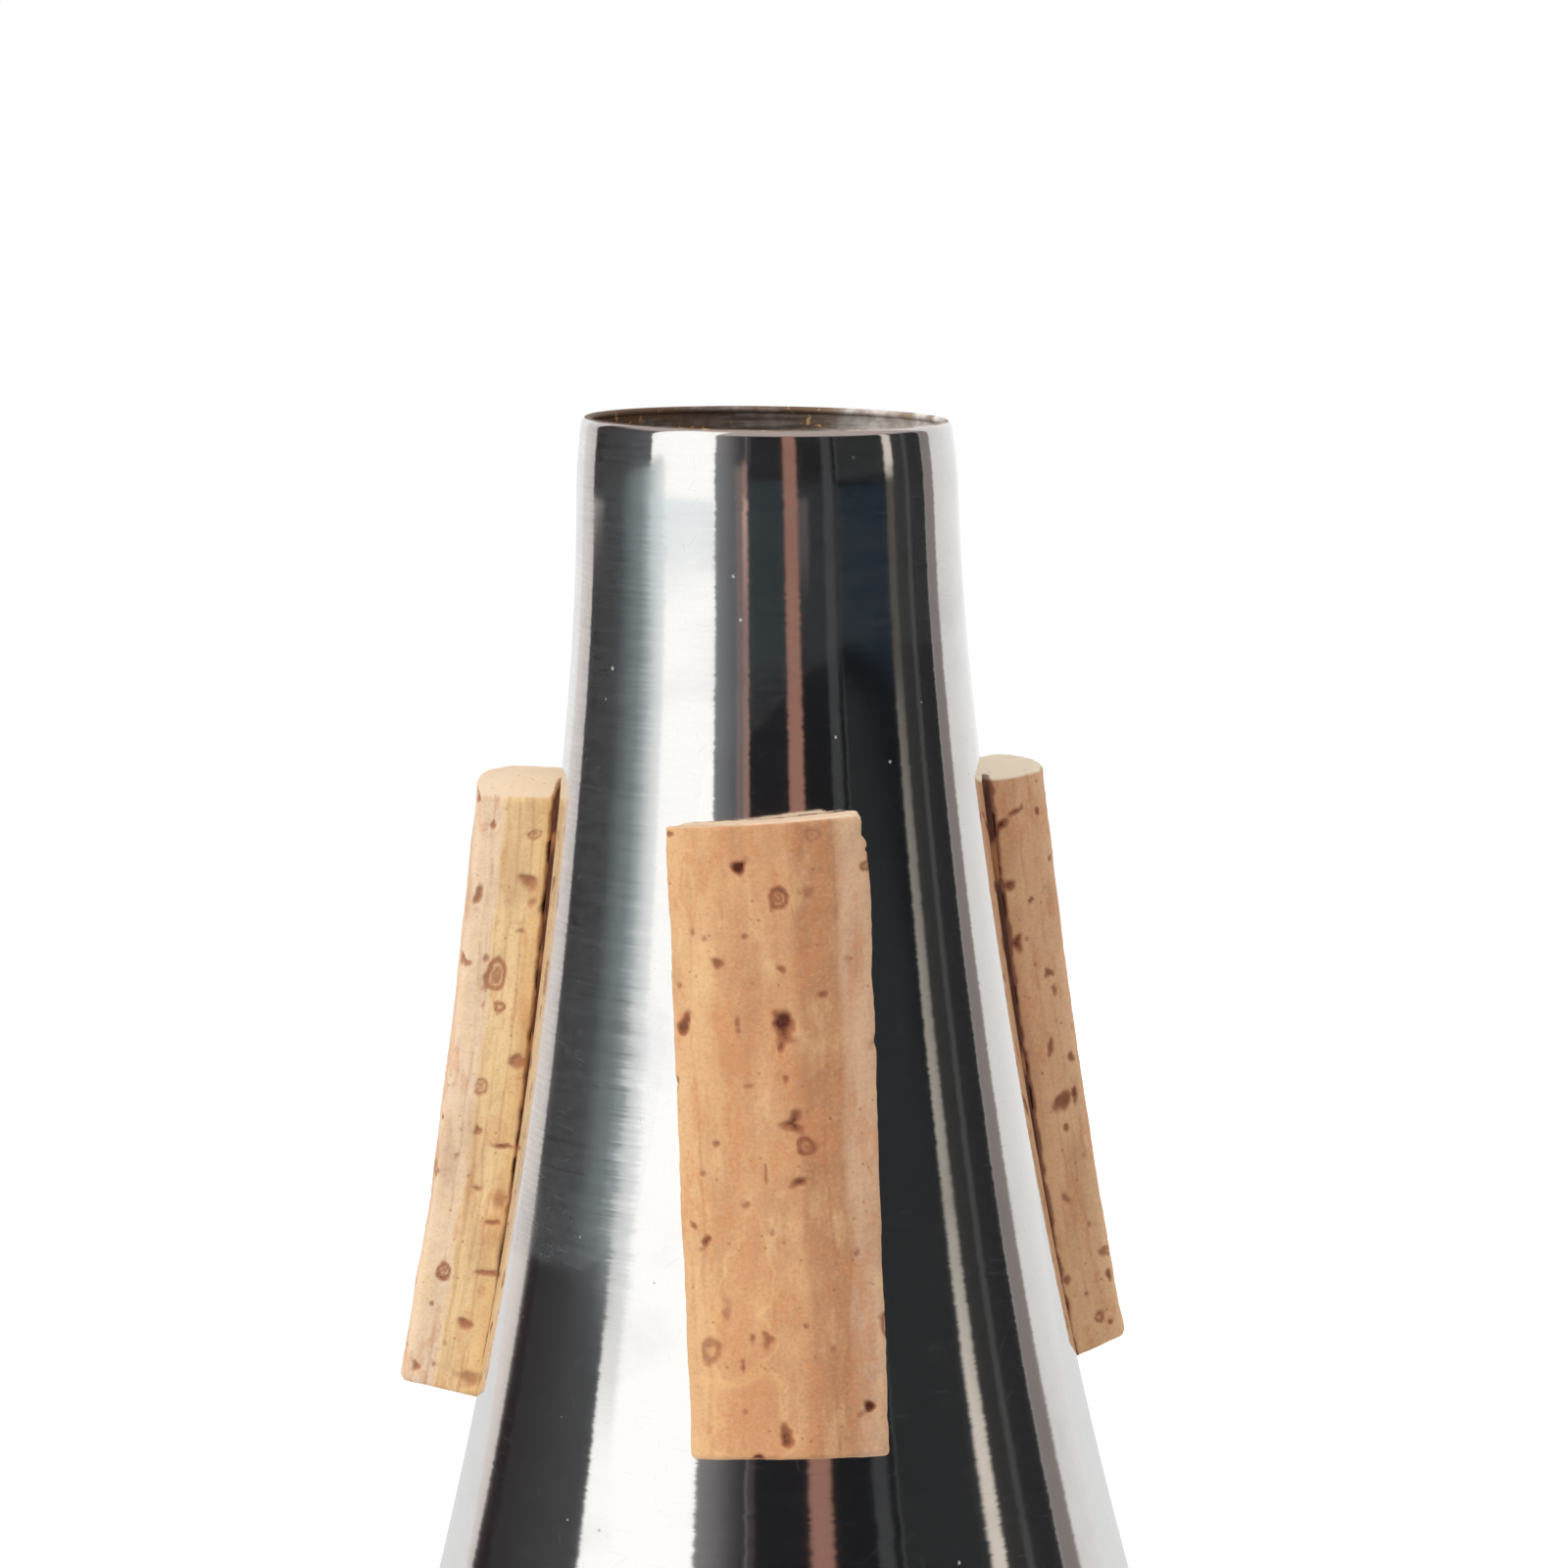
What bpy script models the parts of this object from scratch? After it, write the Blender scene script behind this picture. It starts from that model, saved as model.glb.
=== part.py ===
"""French horn mute: a spun aluminium cone with a rolled-in end cap and three cork strips.

Metres, +Z up along the mute's axis. The wide end stands on z = 0 and the open neck is at the top.
Azimuth 0 faces -Y, where the front cork is, and grows towards +X.
"""

from dataclasses import dataclass, replace
from math import atan, cos, pi, radians, sin, tan

import bmesh
import bpy

MM = 0.001

# Overall size
HEIGHT = 210 * MM
WALL = 0.9 * MM
FIT_GAP = 0.3 * MM
TURN_STEPS = 56
MERGE_DISTANCE = 0.01 * MM
SHARP_ANGLE = radians(40)
EDGE_SEGMENTS = 2

# The neck is drawn in over its last stretch, and its lip is rounded over inwards
NECK_RADIUS = 22.1 * MM
DRAW_IN = 0.74 * MM
DRAW_LENGTH = 9.0 * MM
DRAW_STEPS = 4
LIP_ROUND = 1.9 * MM
LIP_END = radians(45)
LIP_STEPS = 2
RIM_ROUNDING = 0.22 * MM

# The wall is a chain of large arcs. Each row gives the drop below the rim where an arc
# ends, and how much the radius grows there for each unit of drop.
FLARE = (
    (4.1 * MM, 0.005),
    (17.1 * MM, 0.046),
    (31.1 * MM, 0.095),
    (91.1 * MM, 0.166),
    (138.1 * MM, 0.255),
    (171.1 * MM, 0.300),
    (208.1 * MM, 0.300),
)
WALL_STEP = 10.5 * MM

# The wide end turns in under the cap as a flat rolled edge, which the mute stands on
ROLL_RADIUS = 2.5 * MM
ROLL_STEPS = 6
ROLL_LAND = 4.5 * MM

# End cap: a flat land in the rolled edge, a step up, and a low dome
CAP_CLEARANCE = 1.6 * MM
CAP_STEP_OUTER = 49.5 * MM
CAP_STEP_INNER = 44.5 * MM
CAP_STEP_RISE = 3.2 * MM
CAP_DOME_RISE = 1.2 * MM
CAP_STEP_POINTS = 6
CAP_DOME_POINTS = 5

# Cork strips, bent round the cone: their feet stand on the glue, and their sides splay a little
GLUE_THICKNESS = 0.4 * MM
GLUE_MARGIN = 0.6 * MM
CORK_LIFT = 2 * FIT_GAP + GLUE_THICKNESS
CORK_WIDTH = 19.8 * MM
CORK_SPLAY = 0.5
CORK_EDGE = 0.5 * MM
STRIP_COLUMNS = 6
STRIP_ROWS = 8


@dataclass
class Strip:
    """One hand-cut strip: where it sits on the cone, its size and its small errors.

    crown is how much thicker the strip is along its middle line than at its sides. bow is how
    far the cut at the top falls away towards the side that far_side names, -1 or 1.
    """

    side: str
    azimuth: float
    drop: float
    length: float
    top_thickness: float
    end_thickness: float
    crown: float
    lean: float = 0.0
    top_skew: float = 0.0
    top_cut: float = 0.0
    end_cut: float = 0.0
    bow: float = 0.0
    far_side: int = 0
    width: float = CORK_WIDTH


FRONT_STRIP = Strip(
    side="front",
    azimuth=radians(0.45),
    drop=44.0 * MM,
    length=71.7 * MM,
    top_thickness=8.0 * MM,
    end_thickness=8.0 * MM,
    crown=1.6 * MM,
    lean=radians(1.1),
    top_skew=0.6 * MM,
    width=20.2 * MM,
)
LEFT_STRIP = Strip(
    side="left",
    azimuth=radians(-120),
    drop=43.4 * MM,
    length=76.6 * MM,
    top_thickness=9.1 * MM,
    end_thickness=10.1 * MM,
    crown=3.0 * MM,
    top_skew=-1.3 * MM,
    top_cut=0.12,
    end_cut=0.09,
    bow=5.9 * MM,
    far_side=-1,
)
RIGHT_STRIP = Strip(
    side="right",
    azimuth=radians(120),
    drop=43.9 * MM,
    length=72.0 * MM,
    top_thickness=6.5 * MM,
    end_thickness=6.7 * MM,
    crown=2.5 * MM,
    end_cut=-0.12,
    bow=2.2 * MM,
    far_side=1,
)

# Finishes: linear colour, roughness, metallic
ALUMINIUM = ((0.80, 0.80, 0.81), 0.12, 1.0)
CORK = ((0.68, 0.40, 0.21), 0.85, 0.0)
GLUE = ((0.07, 0.03, 0.02), 0.5, 0.0)


def clear_scene():
    """Remove every object of the open file."""
    for thing in list(bpy.data.objects):
        bpy.data.objects.remove(thing, do_unlink=True)


def make_material(name, finish):
    """A Principled material with the given colour, roughness and metallic value."""
    colour, roughness, metallic = finish
    material = bpy.data.materials.new(name)
    material.use_nodes = True
    shader = material.node_tree.nodes["Principled BSDF"]
    shader.inputs["Base Color"].default_value = (*colour, 1.0)
    shader.inputs["Roughness"].default_value = roughness
    shader.inputs["Metallic"].default_value = metallic
    return material


def add_part(name, mesh, finish, collection, parent):
    """Put a mesh in the scene as one named part with its own material."""
    mesh.materials.append(make_material(name, finish))
    part = bpy.data.objects.new(name, mesh)
    part.parent = parent
    collection.objects.link(part)
    return part


def profile_mesh(name, points):
    """A chain of edges in the XZ plane, given as (radius, height) pairs."""
    shape = bmesh.new()
    verts = [shape.verts.new((radius, 0.0, height)) for radius, height in points]
    for first, second in zip(verts, verts[1:]):
        shape.edges.new((first, second))
    mesh = bpy.data.meshes.new(name)
    shape.to_mesh(mesh)
    shape.free()
    return mesh


def turn(part):
    """Turn a profile once round the mute's axis."""
    screw = part.modifiers.new("turned", "SCREW")
    screw.steps = TURN_STEPS
    screw.render_steps = TURN_STEPS
    screw.use_merge_vertices = True
    screw.merge_threshold = MERGE_DISTANCE
    screw.use_smooth_shade = True


def round_edges(part, width):
    """Round the sharp edges of a part."""
    bevel = part.modifiers.new("rounded edges", "BEVEL")
    bevel.width = width
    bevel.segments = EDGE_SEGMENTS
    bevel.limit_method = "ANGLE"
    bevel.angle_limit = SHARP_ANGLE


def wall_at(drop):
    """Outer radius of the wall, and its slope, at a drop below the rim."""
    radius = NECK_RADIUS
    slope = FLARE[0][1]
    for (start, slope_in), (end, slope_out) in zip(FLARE, FLARE[1:]):
        run = min(drop, end) - start
        if run <= 0:
            break
        slope = slope_in + (slope_out - slope_in) * run / (end - start)
        radius += run * (slope_in + slope) / 2
    left = max(0.0, 1 - drop / DRAW_LENGTH)
    return radius - DRAW_IN * left**2, slope + 2 * DRAW_IN / DRAW_LENGTH * left


def lip_start():
    """Drop where the wall turns into the rounded lip."""
    tilt = atan(wall_at(LIP_ROUND / 2)[1])
    return LIP_ROUND * (sin(LIP_END) - sin(tilt))


def lip_points():
    """The rounded lip, from its edge down to the neck."""
    start = lip_start()
    radius, slope = wall_at(start)
    tilt = atan(slope)
    centre = radius - LIP_ROUND * cos(tilt)
    middle = HEIGHT - start - LIP_ROUND * sin(tilt)
    points = []
    for step in range(LIP_STEPS):
        angle = LIP_END + (tilt - LIP_END) * step / LIP_STEPS
        points.append((centre + LIP_ROUND * cos(angle), middle + LIP_ROUND * sin(angle)))
    return points


def roll_start():
    """Drop where the wall turns into the rolled edge, and the arc's centre radius."""
    tilt = atan(FLARE[-1][1])
    drop = HEIGHT - ROLL_RADIUS * (1 + sin(tilt))
    return drop, wall_at(drop)[0] - ROLL_RADIUS * cos(tilt)


def roll_points():
    """The rolled edge, from the wall round to the flat land's inner edge."""
    centre = roll_start()[1]
    tilt = atan(FLARE[-1][1])
    points = []
    for step in range(ROLL_STEPS + 1):
        angle = tilt - (tilt + pi / 2) * step / ROLL_STEPS
        points.append((centre + ROLL_RADIUS * cos(angle), ROLL_RADIUS * (1 + sin(angle))))
    points.append((centre - ROLL_LAND, 0.0))
    return points


def wall_points():
    """The neck and the flare, between the lip and the rolled edge."""
    start = lip_start()
    end = roll_start()[0]
    steps = round((end - DRAW_LENGTH) / WALL_STEP)
    drops = [start + (DRAW_LENGTH - start) * step / DRAW_STEPS for step in range(DRAW_STEPS)]
    drops += [DRAW_LENGTH + (end - DRAW_LENGTH) * step / steps for step in range(steps)]
    return [(wall_at(drop)[0], HEIGHT - drop) for drop in drops]


def build_body_shell(collection, parent):
    """The spun cone: lip, neck, flare and rolled edge in one sheet of even thickness."""
    outline = lip_points() + wall_points() + roll_points()
    shell = add_part("body_shell", profile_mesh("body_shell", outline), ALUMINIUM, collection, parent)
    turn(shell)
    sheet = shell.modifiers.new("sheet", "SOLIDIFY")
    sheet.thickness = WALL
    sheet.offset = -1
    sheet.use_even_offset = True
    round_edges(shell, RIM_ROUNDING)


def cap_underside():
    """Underside of the end cap as (radius, height) pairs, from its edge to the axis."""
    land = WALL + FIT_GAP
    edge = roll_start()[1] + ROLL_RADIUS - WALL - CAP_CLEARANCE
    points = [(edge, land)]
    for step in range(CAP_STEP_POINTS + 1):
        share = step / CAP_STEP_POINTS
        radius = CAP_STEP_OUTER + (CAP_STEP_INNER - CAP_STEP_OUTER) * share
        points.append((radius, land + CAP_STEP_RISE * (1 - cos(pi * share)) / 2))
    for step in range(1, CAP_DOME_POINTS + 1):
        share = step / CAP_DOME_POINTS
        radius = CAP_STEP_INNER * (1 - share)
        height = land + CAP_STEP_RISE + CAP_DOME_RISE * (1 - (1 - share) ** 2)
        points.append((radius, height))
    return points


def build_end_cap(collection, parent):
    """The spun plate that closes the wide end."""
    underside = cap_underside()
    top = [(radius, height + WALL) for radius, height in reversed(underside)]
    cap = add_part("end_cap", profile_mesh("end_cap", top + underside), ALUMINIUM, collection, parent)
    turn(cap)


def strip_point(strip, across, along, lift, rise):
    """A point of a bent strip at azimuth 0.

    across runs from -1 to 1 over the width, along from 0 to 1 down the length, lift is the
    foot's height over the wall, and rise is how far the point stands out from the foot.
    """
    middle_slope = wall_at(strip.drop + strip.length / 2)[1]
    drop = strip.drop + along * strip.length * cos(atan(middle_slope))
    fall = strip.bow * max(0.0, across * strip.far_side) ** 2
    drop += (1 - along) * (rise * strip.top_cut - across * strip.top_skew + fall)
    drop += along * rise * strip.end_cut
    radius, slope = wall_at(drop)
    foot = radius + lift
    shift = (along - 0.5) * strip.length * tan(strip.lean) / foot
    turn_out = across * strip.width / 2 / foot
    foot_angle = shift + turn_out
    face_angle = shift + CORK_SPLAY * turn_out
    tilt = atan(slope)
    return (
        foot * sin(foot_angle) + rise * cos(tilt) * sin(face_angle),
        -foot * cos(foot_angle) - rise * cos(tilt) * cos(face_angle),
        HEIGHT - drop + rise * sin(tilt),
    )


def strip_mesh(name, strip, lift):
    """A closed strip: a flat grid, drawn up into a block and bent round the cone."""
    shape = bmesh.new()
    bmesh.ops.create_grid(shape, x_segments=STRIP_COLUMNS, y_segments=STRIP_ROWS, size=1.0)
    drawn = bmesh.ops.extrude_face_region(shape, geom=shape.faces[:])
    outer = {item for item in drawn["geom"] if isinstance(item, bmesh.types.BMVert)}
    for vert in shape.verts:
        across = vert.co.x
        along = (1 - vert.co.y) / 2
        rise = 0.0
        if vert in outer:
            rise = strip.top_thickness + (strip.end_thickness - strip.top_thickness) * along
            rise += strip.crown * (1 - across**2)
        vert.co = strip_point(strip, across, along, lift, rise)
    bmesh.ops.recalc_face_normals(shape, faces=shape.faces)
    mesh = bpy.data.meshes.new(name)
    shape.to_mesh(mesh)
    shape.free()
    mesh.shade_smooth()
    mesh.set_sharp_from_angle(angle=SHARP_ANGLE)
    return mesh


def build_cork(strip, collection, parent):
    """One cork strip, turned to its place round the mute."""
    name = f"cork_{strip.side}"
    cork = add_part(name, strip_mesh(name, strip, CORK_LIFT), CORK, collection, parent)
    cork.rotation_euler.z = strip.azimuth
    round_edges(cork, CORK_EDGE)


def build_glue(strip, collection, parent):
    """The film of glue under one cork strip."""
    name = f"glue_{strip.side}"
    film = replace(
        strip,
        width=strip.width - 2 * GLUE_MARGIN,
        drop=strip.drop + GLUE_MARGIN,
        length=strip.length - 2 * GLUE_MARGIN,
        top_thickness=GLUE_THICKNESS,
        end_thickness=GLUE_THICKNESS,
        crown=0.0,
    )
    glue = add_part(name, strip_mesh(name, film, FIT_GAP), GLUE, collection, parent)
    glue.rotation_euler.z = strip.azimuth


def build_mute():
    """Build every part of the mute in one collection, on one empty."""
    clear_scene()
    collection = bpy.data.collections.new("french_horn_mute")
    bpy.context.scene.collection.children.link(collection)
    parent = bpy.data.objects.new("mute_axis", None)
    collection.objects.link(parent)
    build_body_shell(collection, parent)
    build_end_cap(collection, parent)
    for strip in (FRONT_STRIP, LEFT_STRIP, RIGHT_STRIP):
        build_cork(strip, collection, parent)
        build_glue(strip, collection, parent)


build_mute()
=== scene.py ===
"""Looks of a french horn mute: a polished spun shell, its end cap and three glued cork strips.

Metres, +Z up along the mute's axis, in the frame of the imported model. Azimuth 0 faces -Y, where
the front cork is, and grows towards +X. Every turned form is given by its outline, and every
cork strip is modelled flat in millimetres and then bent round the cone.
"""

import logging
from dataclasses import dataclass
from enum import Enum
from itertools import product
from math import atan, cos, pi, radians, sin, tan

import bmesh
import bpy
import numpy as np
from mathutils import Matrix, Vector


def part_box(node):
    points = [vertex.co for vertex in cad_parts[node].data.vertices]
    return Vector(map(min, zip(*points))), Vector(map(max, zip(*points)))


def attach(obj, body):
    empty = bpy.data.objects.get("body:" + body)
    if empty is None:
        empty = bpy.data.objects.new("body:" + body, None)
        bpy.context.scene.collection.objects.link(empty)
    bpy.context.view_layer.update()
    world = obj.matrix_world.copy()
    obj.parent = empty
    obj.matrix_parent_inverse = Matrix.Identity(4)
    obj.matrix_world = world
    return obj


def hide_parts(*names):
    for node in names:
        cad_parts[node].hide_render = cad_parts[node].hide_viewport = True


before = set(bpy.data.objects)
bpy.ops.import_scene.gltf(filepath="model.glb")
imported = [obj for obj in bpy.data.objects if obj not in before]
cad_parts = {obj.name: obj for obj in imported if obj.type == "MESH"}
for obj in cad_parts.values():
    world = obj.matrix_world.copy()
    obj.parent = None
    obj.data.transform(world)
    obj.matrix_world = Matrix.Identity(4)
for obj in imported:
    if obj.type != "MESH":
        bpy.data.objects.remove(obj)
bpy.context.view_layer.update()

log = logging.getLogger("mute")

MM = 0.001

Colour = tuple[float, float, float]
Point = tuple[float, float]
Triple = tuple[float, float, float]
Sockets = dict[str | int, object]
Drawn = tuple[np.ndarray, np.ndarray, np.ndarray]
Pair = tuple[np.ndarray, np.ndarray]

WHITE: Colour = (1.0, 1.0, 1.0)
SCREEN_LEVELS = 255
SCREEN_TOE = 0.04045
SCREEN_TOE_SLOPE = 12.92
SCREEN_OFFSET = 0.055
SCREEN_POWER = 2.4


def screen_light(part: float) -> float:
    """Undo the screen's curve for one part of a colour, 0 to 1."""
    if part <= SCREEN_TOE:
        return part / SCREEN_TOE_SLOPE
    return ((part + SCREEN_OFFSET) / (1 + SCREEN_OFFSET)) ** SCREEN_POWER


def paint(red: float, green: float, blue: float) -> Colour:
    """Turn a colour as it is mixed on screen, 0 to 255, into the light it sends back.

    Args:
        red: red part, 0 to 255.
        green: green part, 0 to 255.
        blue: blue part, 0 to 255.

    Returns:
        The three linear parts, 0 to 1.
    """
    return tuple(screen_light(part / SCREEN_LEVELS) for part in (red, green, blue))


class Wire:
    """One output of a node. Ordinary arithmetic on it adds Math nodes."""

    def __init__(self, board: "Board", socket: bpy.types.NodeSocket) -> None:
        """Hold an output socket and the board it is on."""
        self.board = board
        self.socket = socket

    def maths(self, operation: str, *values: "Wire | float") -> "Wire":
        """Add one Math node.

        Args:
            operation: Blender's name of the operation.
            values: its inputs, in order.

        Returns:
            The node's result.
        """
        return self.board.add("ShaderNodeMath", {"operation": operation}, dict(enumerate(values)))

    def twin(self, out: str | int) -> "Wire":
        """Another output of the same node."""
        return Wire(self.board, self.socket.node.outputs[out])

    def __add__(self, other: "Wire | float") -> "Wire":
        """Sum."""
        return self.maths("ADD", self, other)

    def __radd__(self, other: float) -> "Wire":
        """Sum, with a number first."""
        return self.maths("ADD", other, self)

    def __sub__(self, other: "Wire | float") -> "Wire":
        """Difference."""
        return self.maths("SUBTRACT", self, other)

    def __rsub__(self, other: float) -> "Wire":
        """Difference, with a number first."""
        return self.maths("SUBTRACT", other, self)

    def __mul__(self, other: "Wire | float") -> "Wire":
        """Product."""
        return self.maths("MULTIPLY", self, other)

    def __rmul__(self, other: float) -> "Wire":
        """Product, with a number first."""
        return self.maths("MULTIPLY", other, self)

    def __truediv__(self, other: "Wire | float") -> "Wire":
        """Quotient."""
        return self.maths("DIVIDE", self, other)

    def __pow__(self, other: "Wire | float") -> "Wire":
        """Power."""
        return self.maths("POWER", self, other)

    def __abs__(self) -> "Wire":
        """Size without its sign."""
        return self.maths("ABSOLUTE", self)


Shade = Wire | Colour


class Board:
    """A node tree, and the one method that adds nodes to it."""

    def __init__(self, tree: bpy.types.NodeTree) -> None:
        """Start on an empty tree."""
        self.tree = tree
        tree.nodes.clear()

    def add(
        self,
        kind: str,
        settings: dict[str, object] | None = None,
        sockets: Sockets | None = None,
        out: str | int = 0,
    ) -> Wire:
        """Add a node, set it up and join it to others.

        Args:
            kind: Blender's name of the node's type.
            settings: what is set on the node itself.
            sockets: numbers, colours or wires, by the name or place of the input.
            out: the output to hand back; nodes without outputs hand back their first input.

        Returns:
            The chosen output.
        """
        node = self.tree.nodes.new(kind)
        for name, value in (settings or {}).items():
            setattr(node, name, value)
        for name, value in (sockets or {}).items():
            socket = node.inputs[name]
            if isinstance(value, Wire):
                self.tree.links.new(value.socket, socket)
            elif isinstance(value, tuple) and socket.type == "RGBA":
                socket.default_value = (*value, 1.0)
            else:
                socket.default_value = value
        return Wire(self, node.outputs[out] if node.outputs else node.inputs[0])

    def blend(self, share: Wire | float, first: Shade, second: Shade) -> Wire:
        """Mix two colours.

        Args:
            share: how much of the second colour, 0 to 1.
            first: the colour where the share is 0.
            second: the colour where the share is 1.

        Returns:
            The mixed colour.
        """
        return self.add("ShaderNodeMix", {"data_type": "RGBA"}, {0: share, 6: first, 7: second}, 2)

    def step(self, value: Wire, at: float, soft: float) -> Wire:
        """A smooth step from 0 to 1.

        Args:
            value: what is tested.
            at: where the step is half way.
            soft: how wide the step is.

        Returns:
            The step, 0 to 1.
        """
        ends = {0: value, 1: at - soft / 2, 2: at + soft / 2}
        return self.add("ShaderNodeMapRange", {"interpolation_type": "SMOOTHSTEP"}, ends)

    def between(self, value: Wire, low: float, high: float, soft: float) -> Wire:
        """1 between two values and 0 outside them, with smooth ends."""
        return self.step(value, low, soft) * (1 - self.step(value, high, soft))

    def tint(self, under: Shade, colour: Colour, value: Wire, edge: Point, share: float = 1.0) -> Wire:
        """Lay a colour over another one where a value is high.

        Args:
            under: what it is laid over.
            colour: the colour.
            value: what decides where it is.
            edge: the value where it is half way in, and how wide its edge is.
            share: how much it covers in the end.

        Returns:
            The mixed colour.
        """
        return self.blend(self.step(value, *edge) * share, under, colour)

    def stretch(self, place: Wire, rates: Triple) -> Wire:
        """Scale a place unevenly, so that a pattern on it is drawn out."""
        return self.add("ShaderNodeVectorMath", {"operation": "MULTIPLY"}, {0: place, 1: rates})

    def noise(self, place: Wire, scale: float, detail: float = 2.0, rough: float = 0.5) -> Wire:
        """Soft noise from 0 to 1.

        Args:
            place: where the noise is read.
            scale: how many patches there are to a unit.
            detail: how many finer layers are added.
            rough: how strong the finer layers are.

        Returns:
            The noise.
        """
        sockets = {"Vector": place, "Scale": scale, "Detail": detail, "Roughness": rough}
        return self.add("ShaderNodeTexNoise", {}, sockets)

    def specks(self, place: Wire, scale: float, edge: Point, patch_scale: float, patch_edge: Point) -> Wire:
        """Small round specks that come in patches.

        Args:
            place: where they are read.
            scale: how many specks there are to a unit.
            edge: where a speck ends, in shares of their spacing, and how soft that is.
            patch_scale: how many patches there are to a unit.
            patch_edge: the noise level where a patch starts, and how soft that is.

        Returns:
            1 on a speck and 0 off it.
        """
        cells = self.add("ShaderNodeTexVoronoi", {}, {"Vector": place, "Scale": scale})
        patches = self.step(self.noise(place, patch_scale), *patch_edge)
        return (1 - self.step(cells, *edge)) * patches

    def split(self, vector: Wire) -> tuple[Wire, Wire, Wire]:
        """The three parts of a vector."""
        first = self.add("ShaderNodeSeparateXYZ", {}, {0: vector})
        return first, first.twin(1), first.twin(2)

    def place(self) -> Wire:
        """The place on the piece, in metres."""
        return self.add("ShaderNodeTexCoord", out="Object")

    def stored(self, name: str, out: str = "Fac") -> Wire:
        """A number or a vector that the mesh keeps for each of its points."""
        return self.add("ShaderNodeAttribute", {"attribute_name": name}, out=out)

    def bump(self, height: Wire, depth: float, normal: Wire | None = None) -> Wire:
        """Tilt the surface as a fine relief would.

        Args:
            height: the relief, 0 to 1.
            depth: how deep it is, in metres.
            normal: the surface direction under it, where that isn't the mesh's own.

        Returns:
            The tilted surface direction.
        """
        sockets: Sockets = {"Strength": 1.0, "Distance": depth, "Height": height}
        if normal is not None:
            sockets["Normal"] = normal
        return self.add("ShaderNodeBump", {}, sockets)

    def principled(self, sockets: Sockets) -> Wire:
        """Add a Principled shader with these inputs."""
        return self.add("ShaderNodeBsdfPrincipled", {}, sockets)

    def finish(self, shader: Wire) -> None:
        """Send a shader to the material's surface."""
        self.add("ShaderNodeOutputMaterial", {}, {0: shader})


def new_material(name: str) -> tuple[bpy.types.Material, Board]:
    """Make an empty node material.

    Args:
        name: the material's name.

    Returns:
        The material and the board of its nodes.
    """
    material = bpy.data.materials.new(name)
    material.use_nodes = True
    return material, Board(material.node_tree)


HASH_FACTORS = (374761393, 668265263, 1442695041)
HASH_MIX = 1274126177
HASH_BITS = 0xFFFFFF


def lattice_values(cells: np.ndarray, seed: int) -> np.ndarray:
    """Repeatable numbers from 0 to 1, one for each whole-numbered cell."""
    mixed = (cells * np.array(HASH_FACTORS)).sum(axis=1) + seed * HASH_MIX
    mixed = (mixed ^ (mixed >> 13)) * HASH_MIX
    return ((mixed ^ (mixed >> 16)) & HASH_BITS) / HASH_BITS


def soft_noise(points: np.ndarray, size: float, seed: int) -> np.ndarray:
    """Smooth noise from 0 to 1 in space.

    Args:
        points: the places, one a row.
        size: how large a patch is, in the points' own unit.
        seed: a whole number that picks the pattern.

    Returns:
        One value for each point.
    """
    scaled = points / size
    cells = np.floor(scaled).astype(np.int64)
    part = scaled - cells
    part = part * part * (3 - 2 * part)
    total = np.zeros(len(points))
    for corner in product((0, 1), repeat=3):
        share = np.prod(np.where(np.array(corner) == 1, part, 1 - part), axis=1)
        total += share * lattice_values(cells + np.array(corner), seed)
    return total


def ease(values: np.ndarray, low: float, high: float) -> np.ndarray:
    """A smooth step from 0 at low to 1 at high, which may be the smaller one."""
    share = np.clip((values - low) / (high - low), 0, 1)
    return share * share * (3 - 2 * share)


def make_mesh(name: str, points: np.ndarray, faces: np.ndarray) -> bpy.types.Mesh:
    """Make a smooth mesh from points and four-cornered faces.

    Args:
        name: the mesh's name.
        points: the places, one a row.
        faces: four point numbers a row, seen from outside in either turning direction.

    Returns:
        The mesh, closed and facing outwards.
    """
    mesh = bpy.data.meshes.new(name)
    mesh.from_pydata(points.tolist(), [], faces.tolist())
    shape = bmesh.new()
    shape.from_mesh(mesh)
    bmesh.ops.recalc_face_normals(shape, faces=shape.faces)
    shape.to_mesh(mesh)
    shape.free()
    mesh.shade_smooth()
    return mesh


def store(mesh: bpy.types.Mesh, name: str, values: np.ndarray) -> None:
    """Keep a number or a vector for each point of a mesh, for its material to read."""
    kind, key = ("FLOAT_VECTOR", "vector") if values.ndim == 2 else ("FLOAT", "value")
    attribute = mesh.attributes.new(name, kind, "POINT")
    attribute.data.foreach_set(key, values.astype(np.float32).ravel())


def add_piece(name: str, mesh: bpy.types.Mesh, node: str) -> None:
    """Put a mesh in the scene in the place of a node of the frame.

    Args:
        name: the piece's name.
        mesh: its mesh, in place.
        node: the node that it stands for.
    """
    piece = bpy.data.objects.new(name, mesh)
    bpy.context.scene.collection.objects.link(piece)
    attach(piece, "root")
    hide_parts(node)
    log.info("%s: %d faces, in the place of %s", name, len(mesh.polygons), node)


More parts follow.
